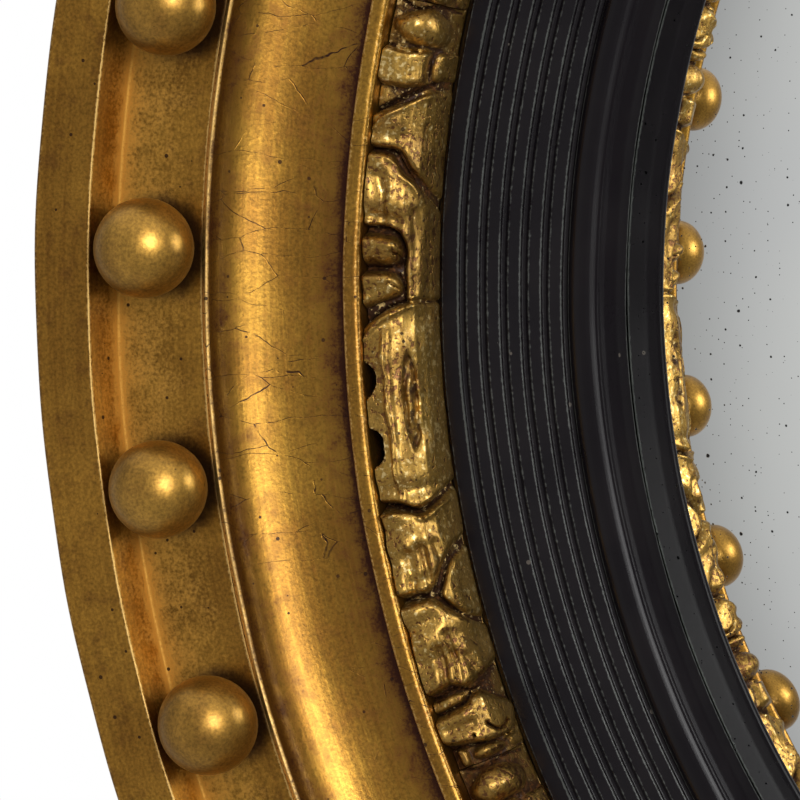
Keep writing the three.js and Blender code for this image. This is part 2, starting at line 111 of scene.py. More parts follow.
def new_finish(name):
    """A material with an empty tree, and the tree's Object coordinates."""
    material = bpy.data.materials.new(name)
    material.use_nodes = True
    material.node_tree.nodes.clear()
    return material, place(material.node_tree, "TexCoord").outputs["Object"]


def surface(material, kind, inputs, lift=None, relief=0.0):
    """Gives a material its shader, raised by lift, where it is given, times relief."""
    tree = material.node_tree
    if lift is not None:
        bump = place(tree, "Bump", {"Height": lift, "Strength": 1.0, "Distance": relief})
        inputs["Normal"] = bump.outputs[0]
    place(tree, "OutputMaterial", {"Surface": place(tree, kind, inputs).outputs[0]})
    return material


def faded(material, amount, first, second):
    """Gives a material one shader that fades into another."""
    return surface(material, "MixShader", {0: amount, 1: first.outputs[0], 2: second.outputs[0]})


# The world is half as bright on what the camera doesn't see, straight or in metal or glass.
world = bpy.data.worlds.new("white_room")
world.use_nodes = True
scene.world = world
sky = world.node_tree
sky.nodes.clear()
path = place(sky, "LightPath").outputs
seen = sums("MAXIMUM", path["Is Camera Ray"], path["Is Glossy Ray"])
seen = sums("MAXIMUM", seen, path["Is Transmission Ray"])
brightness = {"Color": (1, 1, 1, 1), "Strength": ranged(seen, 0.0, 1.0, 0.5, 1.0)}
place(sky, "OutputWorld", {"Surface": place(sky, "Background", brightness).outputs[0]})

FLOOR_BELOW, FLOOR_REACH = 1.45, 3.2
bpy.ops.mesh.primitive_circle_add(
    vertices=96, radius=FLOOR_REACH, fill_type="NGON", location=(0, 0, -FLOOR_BELOW)
)
floor = bpy.context.object
floor.name = "floor"
paint, at = new_finish("pale_floor")
matt = place(paint.node_tree, "BsdfDiffuse", {"Color": (0.86, 0.86, 0.85, 1)})
glow = place(paint.node_tree, "Emission", {"Color": (1, 1, 1, 1), "Strength": 1.0})
faded(paint, between(vectors("LENGTH", at), 0.9, 2.9), matt, glow)
floor.data.materials.append(paint)

# A grey studio screen stands in front of the mirror, on the left, with a cloth at its
# foot. Only glossy surfaces see it: it keeps the flats of the frame deep, and greys the
# rim of the glass.
SCREEN_RADIUS, SCREEN_HALF_HEIGHT, CLOTH_BELOW = 2.6, 2.4, 1.42
SCREEN_TURN, POSTS = 118, 74
around = np.radians(np.linspace(-SCREEN_TURN, SCREEN_TURN, POSTS))
plan = SCREEN_RADIUS * np.stack([np.sin(around), -np.cos(around), 0 * around], 1)
levels = [-SCREEN_HALF_HEIGHT, SCREEN_HALF_HEIGHT, -CLOTH_BELOW]
screen_points = [plan + (0, 0, level) for level in levels] + [[(0, 0, -CLOTH_BELOW)]]
first = np.arange(POSTS - 1)
walls = np.stack([first, first + 1, first + POSTS + 1, first + POSTS], 1)
fan = np.stack([first + 2 * POSTS, first + 2 * POSTS + 1, 0 * first + 3 * POSTS], 1)
screen_mesh = bpy.data.meshes.new("grey_screen")
screen_mesh.from_pydata(np.concatenate(screen_points), [], [*walls.tolist(), *fan.tolist()])
screen = bpy.data.objects.new("grey_screen", screen_mesh)
cloth, at = new_finish("grey_screen")
x, y, z = place(cloth.node_tree, "SeparateXYZ", {0: at}).outputs
bearing = sums("ARCTAN2", x, sums("MULTIPLY", y, -1.0))
bearing = ranged(bearing, -np.radians(SCREEN_TURN), np.radians(SCREEN_TURN))
tone = place(cloth.node_tree, "ValToRGB", {0: bearing})
tone.color_ramp.interpolation = "B_SPLINE"
# Where round the screen, in degrees to the right of the mirror's axis, and how bright.
stops = [(-118, 0.5), (-80, 0.24), (-71, 0.34), (-63, 0.57), (-52, 0.72), (-36, 0.46)]
stops += [(-10, 0.36), (38, 0.34), (62, 0.24), (84, 0.15), (118, 0.14)]
while len(tone.color_ramp.elements) < len(stops):
    tone.color_ramp.elements.new(0.5)
for element, (turned, grey) in zip(tone.color_ramp.elements, stops):
    element.position = (turned + SCREEN_TURN) / (2 * SCREEN_TURN)
    element.color = (grey, grey, grey, 1)
glow = place(cloth.node_tree, "Emission", {"Color": tone.outputs[0], "Strength": 1.0})
through = place(cloth.node_tree, "BsdfTransparent")
faded(cloth, between(sums("ABSOLUTE", z), 1.4, SCREEN_HALF_HEIGHT), glow, through)
screen_mesh.materials.append(cloth)
scene.collection.objects.link(screen)
for rays in ("camera", "diffuse", "shadow", "transmission"):
    setattr(screen, "visible_" + rays, False)


def soft_lamp(name, where, aim, across, power):
    """A square lamp that faces a point."""
    light = bpy.data.lights.new(name, "AREA")
    light.shape = "SQUARE"
    light.size = across
    light.energy = power
    lamp = bpy.data.objects.new(name, light)
    lamp.location = where
    lamp.rotation_euler = (Vector(aim) - Vector(where)).to_track_quat("-Z", "Y").to_euler()
    scene.collection.objects.link(lamp)


soft_lamp("key_lamp", (1.03, -1.88, 0.6), (-0.35, -0.08, 0.0), 1.05, 40)
soft_lamp("back_lamp", (-0.6, 1.6, 1.1), (0.0, 0.0, 0.0), 1.2, 16)

# ---------- the outer ring
# Turned wood under gesso, water gilt over a dark red bole and toned down: a hollow side,
# a flat fillet, and a channel with a leaning wall and a flat floor for the balls.

OUTER_RADIUS, FRAME_DEPTH, FILLET_INNER = 450.0, 88.0, 432.4
CHANNEL_DEPTH, WALL_FOOT, FLOOR_INNER = 11.0, 428.4, 402.0
FLOOR_DEPTH = FRAME_DEPTH - CHANNEL_DEPTH


def softened(corners, cut, steps=4):
    """A closed outline whose corners are eased: each corner becomes a quadratic curve
    that leaves its two sides a cut away from it, with the corner as its handle. A corner
    with no cut stays one point."""
    corners = np.array(corners, float)
    cut = np.broadcast_to(np.array(cut, float), len(corners))[:, None]
    back = np.roll(corners, 1, 0) - corners
    ahead = np.roll(corners, -1, 0) - corners
    start = corners + back * cut / np.linalg.norm(back, axis=1, keepdims=True)
    end = corners + ahead * cut / np.linalg.norm(ahead, axis=1, keepdims=True)
    u = np.linspace(0, 1, steps + 1)[None, :, None]
    curve = (1 - u) ** 2 * start[:, None] + 2 * u * (1 - u) * corners[:, None]
    eased = (curve + u**2 * end[:, None]).reshape(-1, 2)
    return eased[np.linalg.norm(eased - np.roll(eased, 1, 0), axis=1) > 1e-6]


def finely(outline, step):
    """A closed outline with points added: none are further apart than step, and a side
    longer than 2 has two more points near each of its ends."""
    parts = []
    for start, end in zip(outline, np.roll(outline, -1, 0)):
        length = np.linalg.norm(end - start)
        places = np.arange(0, max(length - step / 3, 1e-3), step)
        if length > 2:
            places = np.union1d(places, [0.35, 0.9, length - 0.9, length - 0.35])
        parts.append(start + (end - start) * places[:, None] / length)
    return np.concatenate(parts)


def bends(outline, reach):
    """How sharply a closed outline bulges (positive) or dips (negative) at each point:
    its turning angles, blurred along its length by a bell curve that is reach wide."""
    following = np.roll(outline, -1, 0)
    ahead = following - outline
    behind = outline - np.roll(outline, 1, 0)
    aside = behind[:, 0] * ahead[:, 1] - behind[:, 1] * ahead[:, 0]
    turning = np.arctan2(aside, (behind * ahead).sum(1))
    along = np.cumsum(np.linalg.norm(behind, axis=1))
    apart = np.abs(along[:, None] - along[None, :])
    apart = np.minimum(apart, along[-1] + 1e-9 - apart)
    area = (outline[:, 0] * following[:, 1] - outline[:, 1] * following[:, 0]).sum()
    return np.sign(area) * np.exp(-((apart / reach) ** 2)) @ turning


def by_hand(angle, across, size, seed):
    """Unevenness left by hand work, the same at the start and end of a turn: a sum of
    cosines round the mirror, each of which slips sideways across the moulding."""
    rng = np.random.default_rng(seed)
    total = 0.0
    for count in rng.integers(4, 60, 14):
        slip, phase = rng.uniform(-0.09, 0.09), rng.uniform(0, 2 * np.pi)
        total = total + np.cos(count * angle + slip * across + phase)
    return size * total / np.sqrt(7)


def full_turn(steps):
    """The angles of even steps round a full turn."""
    return np.arange(steps) * 2 * np.pi / steps


def on_mirror(radius, depth, angle):
    """Points in metres, from radius and depth in millimetres and the angle round."""
    x, z = -radius * np.cos(angle), -radius * np.sin(angle)
    return np.stack([x, -depth + 0 * angle, z], -1) / 1000


def grid_piece(name, points, material, around=True, marks=None, sharp=35):
    """A mesh from a grid of points, joined to itself across, and around where that is
    asked for. Its faces are turned round if they would enclose less than nothing."""
    rows, columns = points.shape[:2]
    i = np.arange(rows if around else rows - 1)[:, None]
    j = np.arange(columns)[None, :]
    here, there, j_next = i * columns, (i + 1) % rows * columns, (j + 1) % columns
    faces = np.stack([here + j, there + j, there + j_next, here + j_next], -1).reshape(-1, 4)
    flat = points.reshape(-1, 3)
    a, b, c, d = (flat[faces[:, k]] for k in range(4))
    if (a * (np.cross(b, c) + np.cross(c, d))).sum() < 0:
        faces = faces[:, ::-1]
    mesh = bpy.data.meshes.new(name)
    mesh.from_pydata(flat, [], faces)
    for mark, values in (marks or {}).items():
        values = np.broadcast_to(values, (rows, columns)).astype(np.float32)
        mesh.attributes.new(mark, "FLOAT", "POINT").data.foreach_set("value", values.ravel())
    mesh.polygons.foreach_set("use_smooth", np.ones(len(faces), bool))
    mesh.update()
    mesh.set_sharp_from_angle(angle=np.radians(sharp))
    mesh.materials.append(material)
    piece = bpy.data.objects.new(name, mesh)
    scene.collection.objects.link(piece)
    return piece


def turned_ring(name, outline, material, uneven, seed, turns=480, painted_light_and_shade=None, flaked=None):
    """A closed outline of radius and depth carried round the mirror's axis, uneven by
    hand. It marks where the outline is rubbed (bulges, and where it flakes) and shaded
    (dips, and where painted shade and painted light are laid on), given as radii and amounts."""
    angle = full_turn(turns)[:, None]
    along = np.cumsum(np.linalg.norm(outline - np.roll(outline, 1, 0), axis=1))[None, :]
    radius, depth = outline.T
    marks = {
        "rubbed": np.clip(bends(outline, 0.5), 0, 1.5),
        "shaded": np.clip(-bends(outline, 2.2), 0, 1.5),
    }
    in_front = depth > 30
    for mark, thick in (("rubbed", flaked), ("shaded", painted_light_and_shade)):
        if thick:
            marks[mark] = np.maximum(marks[mark], np.interp(radius, *thick) * in_front)
    radius = radius + by_hand(angle, along, uneven, seed)
    depth = depth + by_hand(angle, along, uneven, seed + 1) * (depth > 1)
    return grid_piece(name, on_mirror(radius, depth, angle), material, marks=marks)


def blend(factor, first, second, kind="MIX"):
    """One colour over another, by a mask."""
    inputs = {0: factor, 6: first, 7: second}
    tree = tree_of(inputs.values())
    return place(tree, "Mix", inputs, data_type="RGBA", blend_type=kind).outputs[2]


def noise(vector, scale, detail=3.0, rough=0.55):
    """The plain value of a noise texture."""
    inputs = {"Vector": vector, "Scale": scale, "Detail": detail, "Roughness": rough}
    return place(vector.id_data, "TexNoise", inputs).outputs[0]


def times(first, second, clamp=False):
    """Two values multiplied."""
    return sums("MULTIPLY", first, second, clamp=clamp)


def plus(first, second, share=1.0, clamp=False):
    """A value with a share of another added to it."""
    return sums("MULTIPLY_ADD", second, share, first, clamp=clamp)


def swing(value, size):
    """A noise's swing about its middle, made as large as size."""
    return times(sums("SUBTRACT", value, 0.5), size)


def attribute(tree, name):
    """A mark that the mesh carries, as a number."""
    return place(tree, "Attribute", attribute_name=name).outputs["Fac"]


def joined(x, y=0.0, z=0.0):
    """A vector of three values."""
    return place(x.id_data, "CombineXYZ", {0: x, 1: y, 2: z}).outputs[0]


def from_axis(at):
    """Distance from the mirror's axis."""
    x, y, z = place(at.id_data, "SeparateXYZ", {0: at}).outputs
    return vectors("LENGTH", joined(x, z))


def cells(vector, scale, channel=0, **settings):
    """Distance to the nearest of scattered points, and a number that is that point's."""
    inputs = {"Vector": vector, "Scale": scale}
    found = place(vector.id_data, "TexVoronoi", inputs, **settings).outputs
    own = place(vector.id_data, "SeparateColor", {0: found["Color"]})
    return found["Distance"], own.outputs[channel]


# Old gilding, for every gilt piece: leaf of two tones in drifts and brushed streaks that
# run round the mirror, stained and speckled, rubbed pale on edges, with painted shade in
# dips (a painted light where a finish's Dips tone is pale) and a painted shadow round the
# balls, with specks of bole, fly spots and fine cracks in the gesso.
TONES = ("Leaf", "Deep", "Pale", "Bole", "Dirt", "Dips")
AMOUNTS = ("Streaks", "Mottle", "Specks", "Cracks", "Wear", "Dirtiness", "Pitting", "Dullness")
RESULTS = ("Colour", "Roughness", "Height")
gilt = bpy.data.node_groups.new("aged_gilding", "ShaderNodeTree")
for socket in TONES + AMOUNTS + RESULTS:
    kind = "NodeSocketColor" if socket in TONES + RESULTS[:1] else "NodeSocketFloat"
    way = "OUTPUT" if socket in RESULTS else "INPUT"
    gilt.interface.new_socket(socket, in_out=way, socket_type=kind)
given, made = gilt.nodes.new("NodeGroupInput").outputs, gilt.nodes.new("NodeGroupOutput").inputs
at = place(gilt, "TexCoord").outputs["Object"]
x, y, z = place(gilt, "SeparateXYZ", {0: at}).outputs
brushed = joined(times(from_axis(at), 850.0), times(y, 850.0), times(x, 22.0))
brushed = {"Vector": brushed, "W": times(z, 22.0), "Scale": 1.0, "Detail": 3.0}
streak = place(gilt, "TexNoise", brushed, noise_dimensions="4D").outputs[0]
drift = noise(at, 26.0)
patch = noise(at, 150.0, 4.0, 0.6)
grain = noise(at, 1100.0, 2.0, 0.6)
rubbed, shaded = attribute(gilt, "rubbed"), attribute(gilt, "shaded")

tone_mix = plus(between(drift, 0.38, 0.64), between(streak, 0.3, 0.7), given["Streaks"])
colour = blend(times(tone_mix, 0.62, clamp=True), given["Leaf"], given["Deep"])
stain = times(between(patch, 0.50, 0.72), given["Mottle"], clamp=True)
colour = blend(stain, colour, given["Bole"])
grained = ranged(grain, 0.28, 0.72, 0.66, 1.30)
colour = blend(1.0, colour, joined(grained, grained, grained), "MULTIPLY")

worn = plus(swing(grain, 1.6), rubbed, given["Wear"])
worn = times(between(worn, 0.35, 0.8), between(rubbed, 0.12, 0.5))
# Painted shade: what is marked shaded takes the Dips tone; on the outer ring that tone is pale, a
# painted light.
dip_shade_and_light = plus(plus(swing(patch, 0.9), swing(grain, 0.9)), shaded, given["Dirtiness"])
dip_shade_and_light = times(between(dip_shade_and_light, 0.1, 0.85), between(shaded, 0.03, 0.2))
# Painted shadow round the balls, in the tone that the dirt specks and cracks share.
painted_ball_shadow = plus(attribute(gilt, "painted_ball_shadow"), swing(patch, 0.5))
painted_ball_shadow = times(between(painted_ball_shadow, 0.1, 1.0), 0.85)
pits = plus(noise(at, 620.0, 2.0, 0.6), swing(drift, 0.45))
dark_pit = times(between(pits, 0.56, 0.70), given["Pitting"], clamp=True)
pale_pit = sums("SUBTRACT", 1.0, between(pits, 0.30, 0.43))
pale_pit = times(times(pale_pit, given["Pitting"], clamp=True), 0.8)
away, own = cells(at, 240.0)
speck = sums("LESS_THAN", away, times(between(own, 0.55, 1.0), 0.15))
speck = times(speck, given["Specks"], clamp=True)
bent = place(gilt, "TexNoise", {"Vector": at, "Scale": 70.0, "Detail": 3.0}).outputs["Color"]
bent = vectors("MULTIPLY_ADD", vectors("SUBTRACT", bent, (0.5,) * 3), (0.005,) * 3, at)
net = {"Vector": vectors("MULTIPLY", bent, (0.42, 0.6, 1.5)), "Scale": 80.0}
net = place(gilt, "TexVoronoi", net, feature="DISTANCE_TO_EDGE").outputs["Distance"]
crack = sums("SUBTRACT", 1.0, between(net, 0.002, 0.009))
crack = times(crack, between(noise(at, 17.0, 2.0), 0.42, 0.54))
crack = times(crack, between(noise(at, 210.0, 2.0), 0.4, 0.56))
crack = times(crack, given["Cracks"], clamp=True)

laid = ((worn, "Pale"), (dip_shade_and_light, "Dips"), (painted_ball_shadow, "Dirt"), (dark_pit, "Bole"))
for mask, laid_tone in (*laid, (pale_pit, "Pale"), (speck, "Dirt"), (crack, "Dirt")):
    colour = blend(mask, colour, given[laid_tone])
rough = ranged(plus(patch, streak), 0.6, 1.4, 0.30, 0.42)
rough = plus(plus(rough, sums("MAXIMUM", dip_shade_and_light, speck), 0.35), worn, 0.14)
rough = plus(rough, given["Dullness"], clamp=True)
height = times(patch, 0.55)
for raised, share in ((grain, 0.14), (streak, 0.22), (crack, -0.30), (speck, -0.25)):
    height = plus(height, raised, share)
height = plus(height, dark_pit, -0.3)
for socket, value in zip(RESULTS, (colour, rough, height)):
    gilt.links.new(value, made[socket])


def gilding(name, relief, metal, coat, **values):
    """A gilt finish: the aged gilding with its own tones, under a thin toning coat."""
    material, _ = new_finish(name)
    for socket in TONES:
        values[socket] = (*values[socket], 1.0)
    colour, rough, height = place(material.node_tree, "Group", values, node_tree=gilt).outputs
    inputs = {"Base Color": colour, "Roughness": rough, "Metallic": metal}
    inputs.update({"Coat Weight": coat, "Coat Roughness": 0.28})
    return surface(material, "BsdfPrincipled", inputs, height, relief)


toned_gilding = gilding(
    "toned_gilding",
    relief=0.00022, metal=0.97, coat=0.04,
    Leaf=(0.40, 0.200, 0.030), Deep=(0.235, 0.108, 0.016), Pale=(0.56, 0.35, 0.11),
    Bole=(0.12, 0.045, 0.012), Dirt=(0.035, 0.014, 0.008), Dips=(0.60, 0.325, 0.060),
    Streaks=0.7, Mottle=0.45, Specks=0.9, Cracks=0.15, Wear=0.8, Dirtiness=0.9,
)
ring_corners = [
    (FLOOR_INNER, 0), (FLOOR_INNER, FLOOR_DEPTH), (WALL_FOOT, FLOOR_DEPTH),
    (FILLET_INNER, FRAME_DEPTH), (OUTER_RADIUS, FRAME_DEPTH), (OUTER_RADIUS - 0.6, 73.5),
    (445.2, 62.0), (442.0, 46.0), (441.0, 34.0), (441.0, 3.0), (438.0, 0),
]
ring_outline = softened(
    ring_corners, [0.1, 0.1, 0.7, 0.45, 2.2, 2.5, 5.0, 5.0, 3.0, 0.6, 0.6], 5
)
# Painted light and wear on the channel floor: this finish's Dips tone is pale, and the floor is
# marked to lighten more and more towards the wall's foot, where it is also worn.
floor_wear_and_painted_light = (
    [402, 408, 416, 423, 427.5, 428.6, 429.5, 432],
    [0, 0.15, 0.36, 0.50, 0.74, 0.60, 0.42, 0],
)
ring_outline = finely(ring_outline, 3.0)
wall_foot_flakes = ([424.5, 427.0, 428.3, 429.2], [0.0, 0.52, 0.62, 0.0])
outer_ring = turned_ring(
    "gilt_outer_ring", ring_outline, toned_gilding, 0.10, 3, 570, floor_wear_and_painted_light, wall_foot_flakes
)
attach(outer_ring, "frame")
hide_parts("outer_ring")

# ---------- the gilt balls
# Turned wooden balls, each gessoed, gilt and burnished by itself and glued to the floor
# of the channel. No two are quite round.

BALL_COUNT, BALL_RADIUS, BALL_SEAT = 38, 14.1, 1.4
BALL_CIRCLE, FIRST_BALL = 414.4, np.radians(-1.43)


def vertices_of(piece):
    """The places of a piece's vertices, a row for each."""
    places = np.empty(len(piece.data.vertices) * 3)
    piece.data.vertices.foreach_get("co", places)
    return places.reshape(-1, 3)


# Painted shadow on the floor round the balls: the most at 0.8 of a ball's radius from its
# middle, and less by a bell curve further out.
x, y, z = vertices_of(outer_ring).T * 1000
pitch = 2 * np.pi / BALL_COUNT
turned = np.mod(np.arctan2(-z, -x) - FIRST_BALL + pitch / 2, pitch) - pitch / 2
away = np.hypot(np.hypot(x, z) - BALL_CIRCLE, BALL_CIRCLE * turned)
away = np.maximum(away - 0.8 * BALL_RADIUS, 0) / (0.28 * BALL_RADIUS)
in_front = y < -70
painted_ball_shadow = (np.exp(-(away**2)) * in_front).astype(np.float32)
outer_ring.data.attributes.new("painted_ball_shadow", "FLOAT", "POINT").data.foreach_set("value", painted_ball_shadow)


def ball_points(number):
    """A ball cut flat at its seat. Its surface is a sphere whose radius swells and
    shrinks a little with slow waves of latitude and longitude, the same at each pole."""
    rng = np.random.default_rng(100 + number)
    seat = np.arccos(1 - BALL_SEAT / BALL_RADIUS)
    latitude = np.linspace(seat, np.pi, 25)[:, None]
    longitude = full_turn(48)[None, :]
    a, b, c, _ = rng.uniform(0, 2 * np.pi, 4)
    swell = np.cos(2 * longitude + a) * np.sin(latitude) ** 2 + np.cos(latitude * 2 + b)
    swell = swell + 0.5 * np.cos(3 * longitude + c) * np.sin(latitude) ** 3
    radius = BALL_RADIUS + 0.09 * swell + rng.uniform(-0.15, 0.1)
    side = radius * np.sin(latitude)
    rise = BALL_RADIUS - BALL_SEAT - radius * np.cos(latitude)
    lean = rng.uniform(-0.25, 0.25, 2)
    east = side * np.cos(longitude) + lean[0] * rise / BALL_RADIUS
    north = side * np.sin(longitude) + lean[1] * rise / BALL_RADIUS
    angle = FIRST_BALL + number * 2 * np.pi / BALL_COUNT
    middle = on_mirror(BALL_CIRCLE, FLOOR_DEPTH, angle)
    return middle + np.stack([east, -np.maximum(rise, 0.0), north], -1) / 1000


def capped_piece(name, points, material, marks=None, sharp=35):
    """A piece from a grid whose first and last rows are drawn in to their middles, each
    of them one vertex, so that it is closed there by a fan of narrow faces."""
    first, last = (
        np.broadcast_to(row.mean(1, keepdims=True), row.shape) for row in (points[:1], points[-1:])
    )
    points = np.concatenate([first, points, last])
    piece = grid_piece(name, points, material, around=False, marks=marks, sharp=sharp)
    shape = bmesh.new()
    shape.from_mesh(piece.data)
    bmesh.ops.remove_doubles(shape, verts=shape.verts, dist=1e-8)
    shape.to_mesh(piece.data)
    shape.free()
    return piece


burnished = gilding(
    "burnished_gilding",
    relief=0.00014, metal=0.95, coat=0.16,
    Leaf=(0.45, 0.243, 0.042), Deep=(0.27, 0.134, 0.021), Pale=(0.75, 0.50, 0.20),
    Bole=(0.13, 0.045, 0.012), Dirt=(0.035, 0.014, 0.008), Dips=(0.050, 0.018, 0.008),
    Streaks=0.15, Mottle=0.25, Specks=0.5, Dirtiness=0.9, Dullness=0.03,
)
# Painted shade at each ball's seat: its lowest rows are marked shaded, to take the dark Dips tone.
painted_shade_at_seat = np.zeros((27, 1))
painted_shade_at_seat[:12, 0] = np.linspace(1.2, 0.0, 12)
for number in range(BALL_COUNT):
    name, marks = "ball_%02d" % (number + 1), {"shaded": painted_shade_at_seat, "rubbed": 0.0}
    ball = capped_piece(name, ball_points(number), burnished, marks, 60)
    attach(ball, "frame")
    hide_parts("gilt_ball_%02d" % (number + 1))

# ---------- the hollow moulding
# Turned wood, gessoed and gilt: a fine lip, a wide hollow that falls from it, a groove
# with painted shade and a small flat step. Its back is rebated for the slip and the backboard.

HOLLOW_OUTER, HOLLOW_WIDTH, HOLLOW_DROP = 399.6, 33.6, 17.0
STEP_OUTER, STEP_INNER, STEP_DEPTH = 362.6, 357.6, 68.0
SHELF_INNER, SHELF_DEPTH, SHELF_THICKNESS, REBATE = 343.2, 42.0, 5.0, 353.2
GROOVE_DEPTH, SHELF_BACK = FLOOR_DEPTH - HOLLOW_DROP, SHELF_DEPTH - SHELF_THICKNESS

fall = np.linspace(0, np.pi / 2, 38)[1:-1]
hollow_radius = HOLLOW_OUTER - HOLLOW_WIDTH * (1 - np.cos(fall))
hollow_corners = [
    (FLOOR_INNER, 0), (FLOOR_INNER, FLOOR_DEPTH), (HOLLOW_OUTER + 0.9, FLOOR_DEPTH + 1.2),
    (HOLLOW_OUTER + 0.1, FLOOR_DEPTH + 0.6),
    *zip(hollow_radius, FLOOR_DEPTH - HOLLOW_DROP * np.sin(fall)),
    (HOLLOW_OUTER - HOLLOW_WIDTH, GROOVE_DEPTH), (STEP_OUTER + 0.1, GROOVE_DEPTH - 0.4),
    (STEP_OUTER, STEP_DEPTH), (STEP_INNER, STEP_DEPTH), (STEP_INNER, SHELF_DEPTH),
    (SHELF_INNER, SHELF_DEPTH), (SHELF_INNER, SHELF_BACK), (REBATE, SHELF_BACK), (REBATE, 0),
]
hollow_cut = np.zeros(len(hollow_corners))
hollow_cut[:4] = [0.1, 0.02, 0.35, 0.3]
hollow_cut[-9:] = [0.8, 0.7, 1.0, 2.3, 0.1, 0.1, 0.1, 0.1, 0.1]
# Painted shade, as radii and amounts: darkest in the groove, fading out up the hollow, and again
# on the lip's steep wall.
hollow_painted_shade = (
    [357, 362, 364.5, 367.5, 374, 384, 394, 397, 399.6, 401],
    [0, 0, 1.2, 0.6, 0.26, 0, 0, 0.35, 0.55, 0],
)
hollow_gilding = gilding(
    "hollow_gilding",
    relief=0.00022, metal=0.97, coat=0.17,
    Leaf=(0.40, 0.210, 0.028), Deep=(0.26, 0.120, 0.015), Pale=(0.56, 0.35, 0.11),
    Bole=(0.16, 0.050, 0.014), Dirt=(0.035, 0.012, 0.008), Dips=(0.070, 0.019, 0.008),
    Streaks=0.8, Mottle=0.30, Specks=0.8, Cracks=1.0, Wear=0.8, Dirtiness=0.9,
)
hollow_outline = finely(softened(hollow_corners, hollow_cut, 5), 4.0)
hollow_ring = turned_ring(
    "gilt_hollow_moulding", hollow_outline, hollow_gilding, 0.10, 11, painted_light_and_shade=hollow_painted_shade
)
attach(hollow_ring, "frame")
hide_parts("hollow_moulding_ring")

# ---------- the leaf band
# Composition ornament pressed in ten lengths from one carved pattern, laid end to end
# on the shelf inside the step, then gilt paler than the frame and rubbed back.

BAND_OUTER, BAND_SOLE = 357.25, 42.05
LENGTHS, PATTERN_START = 10, -13.2
LENGTH_DEGREES = 360 / LENGTHS
PER_DEGREE = 6.09  # millimetres along the band for a degree round the mirror

# Each leaf: its corners, as degrees round and a radius in turn, its height as a share of
# the band's, how far its edge rounds over, and how its height leans along and across.
LEAVES = [
    ((-11, 360, -9.2, 360, -9, 351, -9.4, 343.2, -11.2, 342.8), 0.86, 2.6, 0, 0.006),
    ((-11.1, 342.4, -9.5, 342.4, -9.6, 332, -11.2, 332), 0.74, 2, 0, 0),
    ((-8, 360, -6.2, 360, -6.2, 349.4, -5.2, 345, -3.7, 332, -9.5, 332, -9.3, 342, -8.5, 349),
     0.82, 2.4, 0.004, 0.006),
    ((-6.25, 360, -2.6, 360, -2.45, 347.4, -1.6, 345.2, 0.9, 345.6, 0.85, 332, -3.35, 332, -4.9,
     343, -5.5, 348.8, -6.2, 351.5), 0.9, 2.2, 0.004, 0.006),
    ((-2.45, 360, -0.85, 360, -0.75, 352, -1, 346.4, -1.6, 345.6, -2.3, 347.5), 0.98, 3.4,
     -0.012, 0),
    ((-0.75, 360, 1.2, 360, 1, 353.5, 0.55, 347, 0, 345.6, -0.7, 347.6), 0.96, 3.4, -0.01, 0),
    ((2, 360, 10.1, 360, 10.2, 354, 10.5, 349.5, 10.7, 346, 10.45, 342.4, 9.95, 338.5, 9.5, 332,
     0.75, 332, 0.8, 348.5, 1.2, 353.8), 0.86, 1.8, 0, 0.004),
    ((2, 354.2, 3, 354.8, 4.4, 353.9, 6, 354.6, 7.3, 353.2, 8.9, 354.8, 10.1, 354.6, 10.1, 350,
     8.6, 350.2, 7.2, 349.2, 5.8, 350.2, 4.4, 349.9, 3, 350.4, 2, 349.6), 0.97, 3, 0, 0),
    ((10.3, 360, 14.6, 360, 14.65, 348.2, 13.6, 343.6, 12.7, 338.6, 12.2, 332, 9.6, 332, 10.05,
     338.5, 10.55, 342.4, 10.8, 346, 10.6, 349.5, 10.3, 354), 0.92, 2.6, 0.003, 0.005),
    ((14.8, 347.4, 15.8, 342, 16.7, 332, 12.4, 332, 13.3, 340, 14.2, 344.8), 0.8, 1.8, 0, 0),
    ((14.7, 360, 19.3, 360, 19.1, 351, 19.3, 346, 19, 339.4, 18.5, 332, 16.8, 332, 15.5, 344,
     14.8, 348.6), 0.92, 2.6, -0.003, 0.004),
    ((20.1, 360, 20, 348.7, 19.45, 345.3, 19.45, 341.3, 20, 338.4, 20.8, 332, 22.3, 336, 22.2,
     342, 21.95, 351.3, 21.6, 360), 0.98, 3, 0, 0),
    ((19.35, 360, 20.1, 360, 20.05, 349, 19.4, 346), 0.66, 1.4, 0, 0),
    ((21.75, 356.4, 22.75, 356.4, 22.75, 353, 21.9, 352.8), 0.7, 1.2, 0, 0),
    ((21.7, 340, 22.8, 339, 22.8, 332, 21.2, 332), 0.66, 1.4, 0, 0),
]
GROUND = 0.46
# Each button: its middle, its half-lengths along and across, and its height.
BUTTONS = [(-12, 347.3, 0.95, 10.4, 1.05), (22.4, 346.2, 0.42, 6.8, 0.9)]
